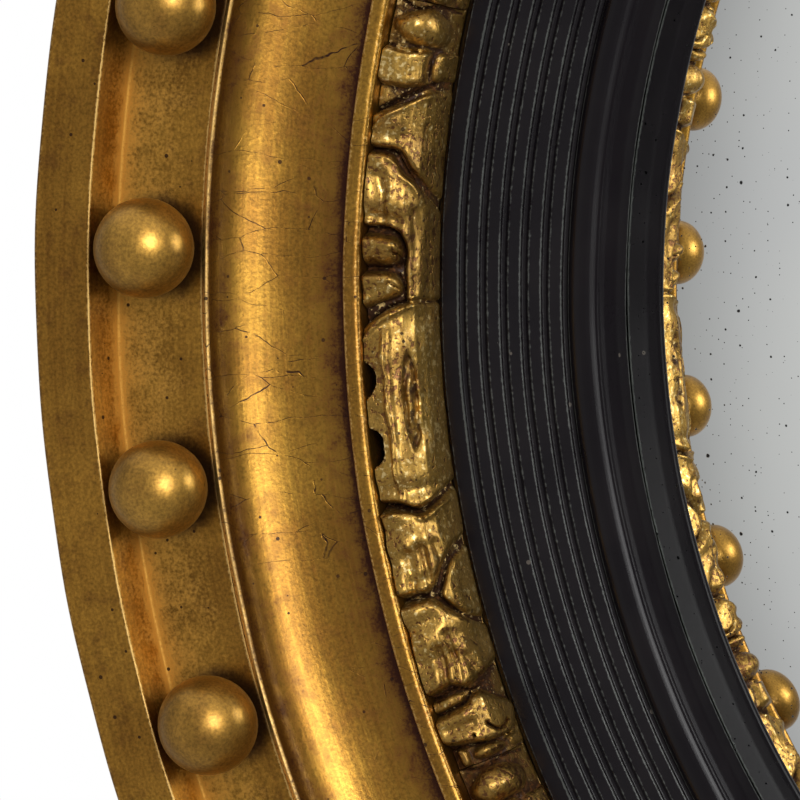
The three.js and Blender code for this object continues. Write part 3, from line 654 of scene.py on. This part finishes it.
# Each cut of the gouge: its path, its half-width, and what share of the height it takes.
CUTS = [
    ((-7.85, 359, -8.35, 355, -8.75, 350, -9.25, 345, -9.5, 341), 1.15, 0.85),
    ((-9.5, 341, -9.7, 337, -9.6, 332), 0.5, 0.35),
    ((-11.1, 342.6, -9.6, 342.7), 0.4, 0.35),
    ((-13.2, 358, -12.9, 352, -13.1, 340, -13, 336), 0.6, 0.5),
    ((-10.95, 358, -10.85, 352, -10.9, 344), 0.6, 0.45),
    ((-6.2, 359, -6.3, 352.5, -6, 349.6, -5.2, 345.6, -4.3, 340.6, -3.5, 335), 0.42, 0.6),
    ((-2.62, 359, -2.6, 351, -2.4, 347.2, -1.6, 345.3, -0.9, 345.6), 0.42, 0.62),
    ((-0.82, 359, -0.78, 352, -1, 346.8), 0.4, 0.55),
    ((-1.5, 350, -1.4, 347.8, -1.1, 346.8), 0.75, 0.55),
    ((-0.6, 347.4, 0.1, 345.5, 0.8, 345.4), 0.42, 0.45),
    ((-0.1, 350.5, 0.15, 348), 0.55, 0.35),
    ((2.15, 359, 1.55, 355.8, 1.1, 353, 0.85, 349, 0.72, 344), 0.5, 0.75),
    ((0.72, 344, 0.7, 338, 0.68, 334), 0.35, 0.35),
    ((10.15, 359, 10.25, 354, 10.55, 349.5, 10.75, 346, 10.5, 342.4, 10, 338.5, 9.6, 334), 0.7,
     0.85),
    ((14.68, 359, 14.72, 352, 14.8, 347.4), 0.4, 0.55),
    ((14.8, 347.6, 14.1, 344.4, 13.3, 340.4, 12.6, 335), 0.45, 0.6),
    ((14.8, 347.6, 15.7, 343, 16.7, 334), 0.45, 0.6),
    ((19.35, 359, 19.2, 351, 19.4, 345, 19.2, 339, 18.7, 334), 0.55, 0.75),
    ((20.1, 359, 20.05, 349, 19.5, 345.6), 0.45, 0.6),
    ((21.5, 348.5, 21.5, 348.1), 0.7, 0.75),
    ((21.1, 343.6, 21.65, 340.7, 21.4, 338.2), 0.6, 0.75),
    ((21.8, 358, 21.95, 351, 22.1, 342, 21.8, 336), 0.55, 0.6),
]
# Broad, shallow hollows that the same gouge left in the leaves.
HOLLOWS = [
    ((-6.9, 357, -6.8, 350.5), 2.2, 0.17),
    ((-8.6, 346, -7.2, 345, -5.6, 338), 1.8, 0.08),
    ((-7.3, 341, -5.9, 334), 1.5, 0.07),
    ((-4.9, 354.5, -3.7, 353.6, -2.9, 353.6), 1.3, 0.15),
    ((-5.4, 350.4, -3, 348.9), 1.4, 0.07),
    ((-3.4, 342.9, -1.5, 342.4, 0.3, 342.9), 0.9, 0.12),
    ((-2, 338.4, 0.3, 338.4), 1.4, 0.06),
    ((-3.1, 357.5, -2.95, 349), 1.6, 0.16),
    ((-1.15, 356, -1.2, 349), 1.6, 0.14),
    ((0.5, 356, 0.25, 350), 1.8, 0.14),
    ((1.9, 357, 1.6, 352, 1.5, 341), 2.6, 0.12),
    ((9.6, 357, 9.7, 341), 1.8, 0.09),
    ((11.4, 357, 11.1, 349, 11.6, 339), 1.7, 0.09),
    ((12.9, 357, 12.8, 351), 1.6, 0.09),
    ((13.9, 352, 13.8, 346.5), 1.4, 0.1),
    ((16, 357, 15.7, 350), 1.6, 0.1),
    ((17.6, 356.5, 17.6, 347), 1.3, 0.09),
    ((16.8, 343, 17.3, 336), 1.5, 0.09),
    ((20.9, 355, 20.9, 348), 1, 0.12),
    ((12.6, 352.6, 14.3, 353.2), 0.9, 0.14),
    ((12.4, 348.8, 14.4, 348.2), 0.9, 0.16),
    ((12.3, 344.5, 13, 343.6), 0.9, 0.12),
    ((17.2, 350.8, 19, 351.6), 0.9, 0.14),
    ((16.6, 347.4, 18.8, 346.4), 0.8, 0.14),
    ((17.9, 343.6, 18.8, 342), 0.9, 0.14),
]
# Openings under the step, and the pod: corners, how deep, how softly they start.
HOLES = [
    ((3.35, 361, 5.3, 361, 5.15, 357, 4.7, 355.2, 4.1, 354.7, 3.6, 356.2), 1, 0.7),
    ((6.45, 361, 8.45, 361, 8.2, 356.6, 7.8, 354.4, 7.2, 354, 6.7, 355.6), 1, 0.7),
    ((2.9, 345.3, 3.6, 347.4, 5, 348.3, 7, 347.9, 8.2, 345.4, 7.2, 342.9, 5.4, 342.2, 3.7,
     342.9), 0.36, 1.6),
]
# The worn swelling inside the pod, and the thin ridges beside the deepest cuts.
POD = (5.5, 345.2, 2.1, 2, 0.3)
RIDGES = [
    ((-7.1, 358, -7.7, 355, -8.2, 350, -8.7, 345, -9, 341), 0.6, 0.1),
    ((2.6, 358, 1.95, 355, 1.5, 352.4, 1.25, 348.8, 1.1, 344), 0.6, 0.12),
    ((-5.9, 352.8, -5.5, 349.4, -4.75, 345.4, -3.9, 340.6), 0.6, 0.06),
    ((2.2, 352.4, 3.2, 353.2, 4.6, 352, 6, 352.9, 7.4, 351.5, 8.8, 352.6, 10, 352.2), 0.7,
     0.08),
    ((10.6, 357.5, 10.62, 350.5, 11.2, 346, 10.8, 341.4, 10.4, 337), 0.5, 0.1),
    ((12.3, 352.2, 13.4, 352.9, 14.3, 352.4), 0.8, 0.06),
]


def drawn(points, closed=False):
    """Corners in degrees and radius as millimetres along and across the band, with the
    corners eased."""
    path = np.reshape(points, (-1, 2)) * (PER_DEGREE, 1.0)
    behind = np.linalg.norm(path - np.roll(path, 1, 0), axis=1)
    cut = np.minimum(2.2, 0.45 * np.minimum(behind, np.roll(behind, -1)))
    if not closed:
        cut[[0, -1]] = 0
    return softened(path, cut, 2)


def far_from(path, s, r, closed=False):
    """Distance of each grid point to a broken line: the least, over its pieces, of the
    distance to the nearest point of the piece."""
    ends = np.roll(path, -1, 0) if closed else path[1:]
    least = np.full(s.shape, 1e9)
    for (s0, r0), (s1, r1) in zip(path, ends):
        long_s, long_r = s1 - s0, r1 - r0
        share = ((s - s0) * long_s + (r - r0) * long_r) / max(long_s**2 + long_r**2, 1e-9)
        share = np.clip(share, 0, 1)
        least = np.minimum(least, np.hypot(s - s0 - share * long_s, r - r0 - share * long_r))
    return least


def inside_by(corners, s, r):
    """Distance inside a polygon, negative outside: a point is inside where a line from
    it along the band crosses the outline an odd number of times."""
    crossings = np.zeros(s.shape, int)
    for (s0, r0), (s1, r1) in zip(corners, np.roll(corners, -1, 0)):
        if r0 != r1:
            crossing = s0 + (r - r0) * (s1 - s0) / (r1 - r0)
            crossings += ((r0 > r) != (r1 > r)) & (s < crossing)
    return far_from(corners, s, r, True) * np.where(crossings % 2, 1, -1)


def rounded_rise(distance, width):
    """0 outside, and a quarter circle up to 1 over a width inside."""
    x = np.clip(distance / width, 0, 1)
    return np.sqrt(np.maximum(0, 1 - (1 - x) ** 2))


def ripple(s, r, size, length, seed):
    """Smooth unevenness: a sum of plane waves of about one length, in all directions."""
    rng = np.random.default_rng(seed)
    total = 0.0
    for _ in range(24):
        way, phase = rng.uniform(0, 2 * np.pi, 2)
        k = 2 * np.pi / (length * rng.uniform(0.7, 1.5))
        total = total + np.cos(k * (s * np.cos(way) + r * np.sin(way)) + phase)
    return size * total / np.sqrt(12)


def carving(s, r, seed):
    """The height of the ornament, from 0 in its ground to about 1: the highest of the
    leaves, each a plateau with rounded edges, with ridges added and gouge cuts and
    openings taken away."""
    wander_s = ripple(s, r, 0.22, 11.0, seed)
    wander_r = ripple(s, r, 0.18, 11.0, seed + 1)
    s, r = s + wander_s, r + wander_r

    def bell(path, reach):
        return np.exp(-((far_from(drawn(path), s, r) / reach) ** 2))

    def in_oval(t0, r0, half_t, half_r):
        reach = ((s - t0 * PER_DEGREE) / (half_t * PER_DEGREE)) ** 2 + ((r - r0) / half_r) ** 2
        return np.maximum(0, 1 - reach)

    height = GROUND + 0 * s
    for corners, top, edge, lean_s, lean_r in LEAVES:
        shape = drawn(corners, True)
        middle = shape.mean(0)
        leaning = top + lean_s * (s - middle[0]) + lean_r * (r - middle[1])
        height = np.maximum(height, leaning * rounded_rise(inside_by(shape, s, r), edge))
    for *oval, top in BUTTONS:
        height = np.maximum(height, top * in_oval(*oval) ** 0.4)
    height = height + ripple(s * 0.7, r, 0.020, 9.5, seed + 2)
    height = height + ripple(s * 0.5, r, 0.004, 4.0, seed + 3)
    for path, half, share in HOLLOWS:
        height = height - 1.35 * share * bell(path, 1.6 * half)
    for path, half, share in RIDGES:
        height = height + share * bell(path, half)
    for corners, deep, soft in HOLES:
        inside = np.clip(inside_by(drawn(corners, True), s, r) / soft, 0, 1)
        height = height * (1 - deep * inside * inside * (3 - 2 * inside))
    height = height + POD[4] * in_oval(*POD[:4])
    for path, half, deep in CUTS:
        away = np.clip(far_from(drawn(path), s, r) / (0.85 * half), 0, 1)
        height = height * (1 - 0.65 * deep * (1 - away * away * (3 - 2 * away)))
    return np.clip(height, 0, 1.12)


CARVED_ROWS, CARVED_COLUMNS, ROW_STEP = 452, 58, 0.47


def smudge(field, reach):
    """The field blurred along and across by a bell curve that is reach wide."""

    def weights(count):
        apart = np.arange(count)[:, None] - np.arange(count)[None, :]
        bell = np.exp(-((apart * ROW_STEP / reach) ** 2))
        return bell / bell.sum(1, keepdims=True)

    return weights(field.shape[0]) @ field @ weights(field.shape[1]).T


# The pattern's radii are those seen through the plane of the band's face. Its section
# rises from the step, bends over, and falls steeply to the slip: radius and depth of
# the leaves' tops and of the ground between them, for some of the pattern's radii.
along = np.linspace(0.02, LENGTH_DEGREES - 0.02, CARVED_ROWS) + PATTERN_START
across = np.linspace(357.8, 334.4, CARVED_COLUMNS)
seen_radii = [334.4, 336.5, 339.5, 342.6, 346.3, 349.9, 354.0, 357.8]
sections = (
    [340.75, 341.1, 342.0, 343.5, 346.0, 349.0, 353.0, BAND_OUTER],
    [45.0, 49.5, 55.0, 60.0, 64.0, 66.0, 66.9, 67.1],
    [343.2, 344.0, 345.2, 346.6, 348.2, 350.3, 353.4, BAND_OUTER],
    [45.0, 47.5, 50.5, 53.0, 55.0, 56.5, 57.0, 56.8],
)
sections = np.stack([np.interp(across, seen_radii, row) for row in sections], 1)
crown, ground = sections[:, :2], sections[:, 2:]
sole = [(343.5, 43.6), (343.9, BAND_SOLE), (350.5, BAND_SOLE)]
sole = np.array(sole + [(BAND_OUTER, BAND_SOLE), (BAND_OUTER, 50.0)])
under = np.broadcast_to(sole, (CARVED_ROWS, *sole.shape))
pale_gilding = gilding(
    "pale_leaf_gilding",
    relief=0.00030, metal=0.94, coat=0.10,
    Leaf=(0.41, 0.240, 0.050), Deep=(0.25, 0.138, 0.028), Pale=(0.80, 0.60, 0.26),
    Bole=(0.14, 0.058, 0.018), Dirt=(0.030, 0.012, 0.008), Dips=(0.048, 0.021, 0.010),
    Mottle=0.45, Specks=0.8, Cracks=0.1, Wear=0.9, Dirtiness=1.1, Pitting=1.0, Dullness=0.03,
)
for number in range(LENGTHS):
    s, r = np.meshgrid(along * PER_DEGREE, across, indexing="ij")
    height = carving(s, r, 500 + 10 * number)
    # Painted shade: the carving's dips, its broad hollows and the low ground between the leaves
    # are marked shaded, to take the dark Dips tone; the sunken pod is marked darker in a mottle.
    dip = smudge(height, 1.1) - height
    broad_dip = smudge(height, 5.0) - height
    low = np.clip((0.54 - height) / 0.18, 0, 1)
    shade = np.clip(dip * 2.4, 0, 0.7) + np.clip(broad_dip * 1.6, 0, 0.3) + 0.7 * low
    in_pod = np.clip(inside_by(drawn(HOLES[2][0], True), s, r) / 0.8, 0, 1)
    stained = np.clip(0.42 + ripple(s * 0.6, r, 0.5, 2.6, 41 + number), 0, 1)
    marks = {
        "shaded": np.maximum(shade, 0.62 * in_pod * stained),
        "rubbed": np.clip(-dip * 3.0, 0, 1.2),
    }
    for mark, amount in marks.items():
        amount = np.pad(amount, ((0, 0), (0, len(sole))))
        marks[mark] = np.pad(amount, ((1, 1), (0, 0)), "edge")
    section = np.concatenate([ground + height[..., None] * (crown - ground), under], 1)
    turn = np.radians(along + number * LENGTH_DEGREES)[:, None]
    points = on_mirror(section[..., 0], section[..., 1], turn)
    leaf = capped_piece("leaf_length_%02d" % (number + 1), points, pale_gilding, marks, 75)
    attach(leaf, "frame")
    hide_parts("carved_leaf_band")

# ---------- the reeded slip
# Turned and ebonised wood, French polished: flat reeds with grooves between them, then
# a bead and a small cove down to the glass. Its arrises are rubbed grey, and the grey is a painted
# highlight too.

SLIP_OUTER, SLIP_NECK, SLIP_LIP = 352.9, 342.9, 340.6
SLIP_DEPTH, REEDS_OUTER, SHOULDER = 44.4, 335.8, 36.7
REED_PITCH, REED_GROOVE, REED_CUT, REED_COUNT = 5.79, 2.4, 1.2, 6
BEAD_OUTER, BEAD_INNER, BEAD_DEPTH, BEAD_RISE = 304.45, 295.45, 36.4, 2.6
SIGHT, GLASS_LAP, GLASS_SEAT = 290.85, 298.15, 24.7


def reeded_corners():
    """The slip's outline: the face falls evenly from its outer edge to the bead, and
    each groove has a steep outer side, a flat bottom and a sloping inner side."""
    fall = (SLIP_DEPTH - BEAD_DEPTH) / (REEDS_OUTER - BEAD_OUTER)
    starts = REEDS_OUTER - REED_PITCH * np.arange(REED_COUNT)
    shares = np.array([0.0, 0.10, 0.52, 1.0])
    radius = (starts[:, None] - shares[None, :] * REED_GROOVE).ravel()
    depth = SLIP_DEPTH - (REEDS_OUTER - radius) * fall
    depth = depth - np.tile([0.0, REED_CUT, REED_CUT, 0.0], REED_COUNT)
    return list(zip(radius, depth))


bead_turn = np.linspace(0, np.pi, 15)[1:]
bead_middle, bead_half = (BEAD_OUTER + BEAD_INNER) / 2, (BEAD_OUTER - BEAD_INNER) / 2
slip_corners = [
    (SLIP_OUTER, 9), (SLIP_OUTER, SHOULDER), (SLIP_NECK, SHOULDER), (SLIP_NECK, SHOULDER + 5),
    (SLIP_LIP, SLIP_DEPTH), *reeded_corners(), (BEAD_OUTER + 0.5, BEAD_DEPTH + 0.1),
    *zip(bead_middle + bead_half * np.cos(bead_turn), BEAD_DEPTH + BEAD_RISE * np.sin(bead_turn)),
    (294.6, 35.2), (292.4, 30.8), (SIGHT, GLASS_SEAT), (GLASS_LAP, GLASS_SEAT), (GLASS_LAP, 9),
]
slip_cut = [0.1] * 5 + [0.10, 0.10, 0.12, 0.14] * REED_COUNT
slip_cut += [0.12] * (1 + len(bead_turn)) + [0.4, 0.8] + [0.1] * 3
slip_outline = finely(softened(slip_corners, slip_cut, 2), 6.0)

# Black stained wood under old polish: faint grain, a grey on the rubbed arrises that is
# wear and also a painted highlight, dust in the grooves, and small specks. The coat of polish is
# thin on the cove and thicker on the bead and reeds.
ebony, at = new_finish("ebonised_polish")
fine, cloud = noise(at, 900.0), noise(at, 45.0)
rubbed, shaded = attribute(ebony.node_tree, "rubbed"), attribute(ebony.node_tree, "shaded")
stain = between(cloud, 0.35, 0.7)
black = blend(stain, (0.0048, 0.0036, 0.0048, 1), (0.0070, 0.0054, 0.0064, 1))
# Painted highlight and wear: a grey laid on the rubbed arrises.
arris_wear_and_highlight = between(plus(rubbed, swing(fine, 1.5)), 0.55, 1.15)
arris_wear_and_highlight = times(arris_wear_and_highlight, between(cloud, 0.2, 0.5))
black = blend(arris_wear_and_highlight, black, (0.062, 0.065, 0.060, 1))
dust = times(between(shaded, 0.2, 0.9), between(fine, 0.4, 0.8))
black = blend(times(dust, 0.2), black, (0.030, 0.027, 0.024, 1))
away, own = cells(at, 170.0, 1)
chip = sums("LESS_THAN", away, times(between(own, 0.9, 1.0), 0.14))
inputs = {
    "Base Color": blend(times(chip, 0.7), black, (0.10, 0.085, 0.07, 1)),
    "Roughness": ranged(plus(fine, cloud), 0.6, 1.4, 0.26, 0.34),
    "Specular IOR Level": 0.05,
    "Coat Weight": ranged(from_axis(at), 0.2950, 0.2975, 0.02, 0.24),
    "Coat Roughness": 0.2,
}
surface(ebony, "BsdfPrincipled", inputs, plus(times(fine, 0.2), cloud, 0.8), 0.00006)

slip = turned_ring("ebonised_slip", slip_outline, ebony, 0.035, 21)
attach(slip, "frame")
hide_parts("reeded_slip")

# ---------- the convex glass
# A cap of blown plate, silvered on its back. The silvering has gone grey in places and
# is spotted with damp.

CURVE, THICK, RIM, CENTRE_DEPTH = 600.0, 4.0, 297.65, -500.4


def glass_points():
    """Front of the cap from its middle to its rim, then its back from the rim to the
    middle: each a sphere about one centre, the back a thickness nearer to it."""
    spread = np.linspace(0, 1, 80)[1:]
    tilt = np.arcsin(RIM / CURVE) * spread
    front = np.stack([CURVE * np.sin(tilt), CENTRE_DEPTH + CURVE * np.cos(tilt)], 1)
    inner = CURVE - THICK
    tilt = tilt[::-4]
    back = np.stack([inner * np.sin(tilt), CENTRE_DEPTH + inner * np.cos(tilt)], 1)
    return np.concatenate([front, back])


# Mirror silver, greyed in broad clouds, with round damp spots in three sizes, each a
# dark middle with a soft rim, where a Voronoi cell is picked out by its colour.
silver, at = new_finish("old_silvering")
x, y, z = place(silver.node_tree, "SeparateXYZ", {0: at}).outputs
face, worst = joined(x, z), 0.0
for scale, size, share in ((210.0, 0.085, 0.60), (95.0, 0.060, 0.76), (520.0, 0.12, 0.74)):
    warped = {"Vector": face, "Scale": scale * 9, "Detail": 1.0}
    warped = place(silver.node_tree, "TexNoise", warped).outputs["Color"]
    warped = vectors("MULTIPLY_ADD", warped, (0.05 / scale,) * 3, face)
    away, own = cells(warped, scale, voronoi_dimensions="2D")
    nearness = sums("SUBTRACT", times(between(own, share, 1.0), size), away)
    worst = sums("MAXIMUM", worst, ranged(nearness, 0.0, size * 0.35))
grey = between(noise(at, 9.0), 0.3, 0.75)
colour = blend(grey, (0.85, 0.865, 0.84, 1), (0.79, 0.805, 0.80, 1))
inputs = {
    "Base Color": blend(worst, colour, (0.030, 0.031, 0.033, 1)),
    "Roughness": ranged(worst, 0.0, 1.0, 0.012, 0.35),
    "Metallic": 1.0,
}
surface(silver, "BsdfPrincipled", inputs)

section = glass_points()
turn = full_turn(240)[None, :]
glass_grid = on_mirror(section[:, None, 0], section[:, None, 1], turn)
glass = capped_piece("convex_glass_cap", glass_grid, silver, sharp=50)
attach(glass, "frame")
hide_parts("convex_glass")

# ---------- the packing ring and the backboard
# A softwood ring presses on the rim of the glass. Behind it lies a round board of four
# butted pine planks, stained dark and dusty, let in flush with the back of the frame.

PLANK_WIDTH = 0.1765  # metres


def old_pine(name, light, dark, planks):
    """Stained pine: growth lines drawn out up and down, where a slow noise passes whole
    steps, under finer grain and dust; planks adds the joints, a plank's width apart."""
    material, at = new_finish(name)
    x, y, z = place(material.node_tree, "SeparateXYZ", {0: at}).outputs
    plank = times(x, 1.0 / PLANK_WIDTH)
    shifted = joined(x, times(sums("FLOOR", plank), 0.37), times(z, 0.06))
    lines = sums("FRACT", times(noise(shifted, 26.0), 16.0))
    lines = times(between(lines, 0.35, 0.95), 0.75)
    fine, dust = noise(shifted, 900.0, 3.0, 0.6), noise(at, 16.0, 4.0)
    colour = blend(lines, light, dark)
    colour = blend(times(between(fine, 0.45, 0.75), 0.55), colour, dark)
    colour = blend(times(between(dust, 0.5, 0.75), 0.4), colour, (0.16, 0.135, 0.105, 1))
    beside = sums("ABSOLUTE", sums("SUBTRACT", sums("FRACT", plus(plank, 0.5)), 0.5))
    joint = times(sums("SUBTRACT", 1.0, between(beside, 0.0015, 0.0045)), planks)
    inputs = {
        "Base Color": blend(joint, colour, (0.006, 0.005, 0.004, 1)),
        "Roughness": ranged(fine, 0.0, 1.0, 0.6, 0.85),
    }
    lift = plus(plus(lines, fine, 0.3), joint, -2.0)
    return surface(material, "BsdfPrincipled", inputs, lift, 0.0002)


def finish_node(node, material):
    """Gives a frame node that is shown as it is a material, in each of its slots."""
    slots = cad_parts[node].material_slots
    for held in slots:
        held.material = material
    if not slots:
        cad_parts[node].data.materials.append(material)


packing_pine = old_pine("packing_pine", (0.42, 0.27, 0.13, 1), (0.24, 0.13, 0.055, 1), 0.0)
stained = old_pine("stained_planks", (0.085, 0.050, 0.026, 1), (0.030, 0.018, 0.011, 1), 1.0)
finish_node("glass_packing_ring", packing_pine)
finish_node("backboard", stained)

# ---------- bare wood behind
# The gilding stops at the edge of the back: there the two turned rings show the brown
# pine that they are made of.

BARE_EDGE = 0.0035
bare_pine = old_pine("bare_pine", (0.27, 0.155, 0.070, 1), (0.13, 0.068, 0.030, 1), 0.0)
for ring in (outer_ring, hollow_ring):
    ring.data.materials.append(bare_pine)
    behind = vertices_of(ring)[:, 1] > -BARE_EDGE
    corner_of = np.empty(len(ring.data.polygons) * 4, np.int32)
    ring.data.polygons.foreach_get("vertices", corner_of)
    bare = behind[corner_of.reshape(-1, 4)].all(1)
    ring.data.polygons.foreach_set("material_index", bare.astype(np.int32))

# ---------- the screws
# Slotted steel screws, browned with age: six countersunk ones through the backboard into
# the slip, and two with round heads in each hanger. Each slot points its own way.

# Dull grey steel with brown rust in patches and fine pits.
steel, at = new_finish("old_steel")
rust = between(noise(at, 260.0, 5.0, 0.65), 0.50, 0.66)
fine = noise(at, 1800.0)
grey = blend(between(fine, 0.3, 0.7), (0.30, 0.29, 0.275, 1), (0.40, 0.39, 0.37, 1))
inputs = {
    "Base Color": blend(times(rust, 0.8), grey, (0.10, 0.045, 0.020, 1)),
    "Roughness": ranged(rust, 0.0, 1.0, 0.34, 0.75),
    "Metallic": ranged(rust, 0.0, 1.0, 1.0, 0.35),
}
surface(steel, "BsdfPrincipled", inputs, plus(times(fine, 0.4), rust, 0.5), 0.00006)

SLOT_HALF = 0.45


def slotted_screw(name, head, shank, slot_floor, middle, turn):
    """A screw along the axis of the mirror. head and shank are rows of radius and height
    from the back, from near the head's middle to the screw's point. A slot is cut across
    the head: each row has points where a circle of its radius meets the slot's two
    sides, held down to the slot's floor between them."""
    top = head[0][1]
    head = [(0.1, top), (SLOT_HALF, top), (SLOT_HALF + 0.01, top), *head]
    rows = np.array([*head, *shank], float)
    radius, height = rows[:, 0:1], rows[:, 1:2]
    edge = np.arcsin(np.clip(SLOT_HALF / radius, 0, 1) * 0.999)
    edge[len(head) :] = edge[len(head) - 1]
    flank = edge + (np.pi - 2 * edge) * np.linspace(0, 1, 9)[None, :]
    half = np.concatenate([0 * edge, edge, flank, np.pi - edge], 1)
    angle = np.concatenate([half, half + np.pi], 1)
    in_slot = np.array(([True, True] + [False] * 9 + [True]) * 2)[None, :]
    in_head = (np.arange(len(rows)) < len(head))[:, None]
    held_down = (in_slot | (radius <= SLOT_HALF)) & in_head
    height = np.where(held_down, np.minimum(height, slot_floor), height)
    x = middle[0] + radius * np.cos(angle + turn)
    z = middle[1] + radius * np.sin(angle + turn)
    return capped_piece(name, np.stack([x, height, z], -1) / 1000, steel, sharp=40)


SCREW_CIRCLE = 326.9
PIVOT_X, HANGER_Z, PIVOT_Y = 353.514, 150.0, 3.5
SIDES = ((-1, "left"), (1, "right"))
flat_head = [(1.0, -0.4), (2.0, -0.4), (3.6, -0.4), (3.85, -0.42)]
flat_shank = [(4.0, -0.55), (2.0, -3.0), (2.0, -21.4), (0.1, -25.3)]
dome = np.linspace(0.13, 1, 9) * np.pi / 2
round_head = list(zip(4.0 * np.sin(dome), 1.25 + 2.15 * np.cos(dome)))
round_shank = [(3.9, 1.2), (2.0, 1.15), (2.0, -16.8), (0.1, -20.7)]
screws = {}
for number in range(6):
    way = np.radians(30 + 60 * number)
    middle, turn = SCREW_CIRCLE * np.array([np.cos(way), np.sin(way)]), 1.1 + 2.3 * number
    screws["backboard_screw_%d" % (number + 1)] = flat_head, flat_shank, -1.4, middle, turn
for side, label in SIDES:
    for number, offset in ((1, 10.0), (2, 31.0)):
        middle, turn = (side * (PIVOT_X + offset), HANGER_Z), 0.7 + side * number
        node = "hanger_screw_%s_%d" % (label, number)
        screws[node] = round_head, round_shank, 2.2, middle, turn
for node, shape in screws.items():
    screw = slotted_screw(node + "_slotted", *shape)
    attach(screw, "frame")
    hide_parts(node)

# ---------- the straps of the hangers
# A steel strip folded round the bar of the ring and screwed level to the back of the
# frame. Its far end is rounded.

STRAP_LENGTH, STRAP_HALF, STRAP_THICK, EYE_MIDDLE = 44.0, 8.0, 1.2, 2.9
END_ROUNDING, STRAP_EASE = 4.0, 0.22


def strap_points(side):
    """The strip's section, a rectangle with eased edges, carried along its middle line:
    in from the far end, then round the eye most of the way back to the strip itself. The
    end's width follows a circle in each corner."""
    flat = STRAP_LENGTH - END_ROUNDING * (1 - np.cos(np.linspace(0, np.pi / 2, 8)))
    flat = np.concatenate([flat, np.linspace(36, 0, 14)])
    turned = np.radians(np.linspace(-90, -392, 44))[1:]
    line_x = np.concatenate([flat, EYE_MIDDLE * np.cos(turned)])
    line_y = np.concatenate([0 * flat + STRAP_THICK / 2, PIVOT_Y + EYE_MIDDLE * np.sin(turned)])
    out_x = np.concatenate([0 * flat, np.cos(turned)])
    out_y = np.concatenate([0 * flat - 1, np.sin(turned)])
    inset = np.clip((flat - (STRAP_LENGTH - END_ROUNDING)) / END_ROUNDING, 0, 1)
    half = STRAP_HALF - END_ROUNDING * (1 - np.sqrt(1 - inset**2))
    half = np.concatenate([half, 0 * turned + STRAP_HALF])
    cut = STRAP_EASE * np.array([0, 0.3, 1])
    rise = STRAP_THICK / 2 - cut[::-1]
    cut = np.concatenate([cut, cut[::-1]] * 2)
    rise = np.concatenate([rise, rise[::-1], -rise, -rise[::-1]])
    z = np.repeat([-1, 1, -1], [3, 6, 3]) * (half[:, None] - cut)
    x = line_x[:, None] + out_x[:, None] * rise
    y = line_y[:, None] + out_y[:, None] * rise
    return np.stack([side * (PIVOT_X + x), y, HANGER_Z + z], -1) / 1000


for side, label in SIDES:
    strap = capped_piece("folded_strap_" + label, strap_points(side), steel, sharp=40)
    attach(strap, "frame")
    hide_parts("hanger_strap_" + label)

# ---------- the rings of the hangers
# Steel wire bent to a D, its straight side through the eye of the strap. The ring swings
# on that side.

WIRE, RING_REACH, RING_HALF, RING_CORNER = 2.0, 20.0, 10.5, 2.6


def ring_points(side):
    """A circle carried along the D: half a circle, two straight legs, and a bar whose
    two corners are quarter circles."""
    half_turn = np.linspace(np.pi / 2, 3 * np.pi / 2, 41)
    quarter = np.linspace(-np.pi / 2, 0, 11)
    far_x = RING_HALF - RING_REACH + RING_HALF * np.cos(half_turn)
    far_side = np.stack([far_x, RING_HALF * np.sin(half_turn)], 1)
    near_z = RING_CORNER - RING_HALF + RING_CORNER * np.sin(quarter)
    low = np.stack([RING_CORNER * np.cos(quarter) - RING_CORNER, near_z], 1)
    line = np.concatenate([far_side, low, low[::-1] * (1, -1)])
    ahead = np.roll(line, -1, 0) - np.roll(line, 1, 0)
    ahead = ahead / np.linalg.norm(ahead, axis=1, keepdims=True)
    turned = full_turn(20)[None, :]
    x = line[:, :1] + ahead[:, 1:] * WIRE * np.cos(turned)
    z = line[:, 1:] - ahead[:, :1] * WIRE * np.cos(turned)
    y = PIVOT_Y + WIRE * np.sin(turned) + 0 * x
    return np.stack([side * (PIVOT_X + x), y, HANGER_Z + z], -1) / 1000


for side, label in SIDES:
    ring = grid_piece("wire_ring_" + label, ring_points(side), steel, sharp=60)
    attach(ring, "ring_" + label)
    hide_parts("hanger_ring_" + label)
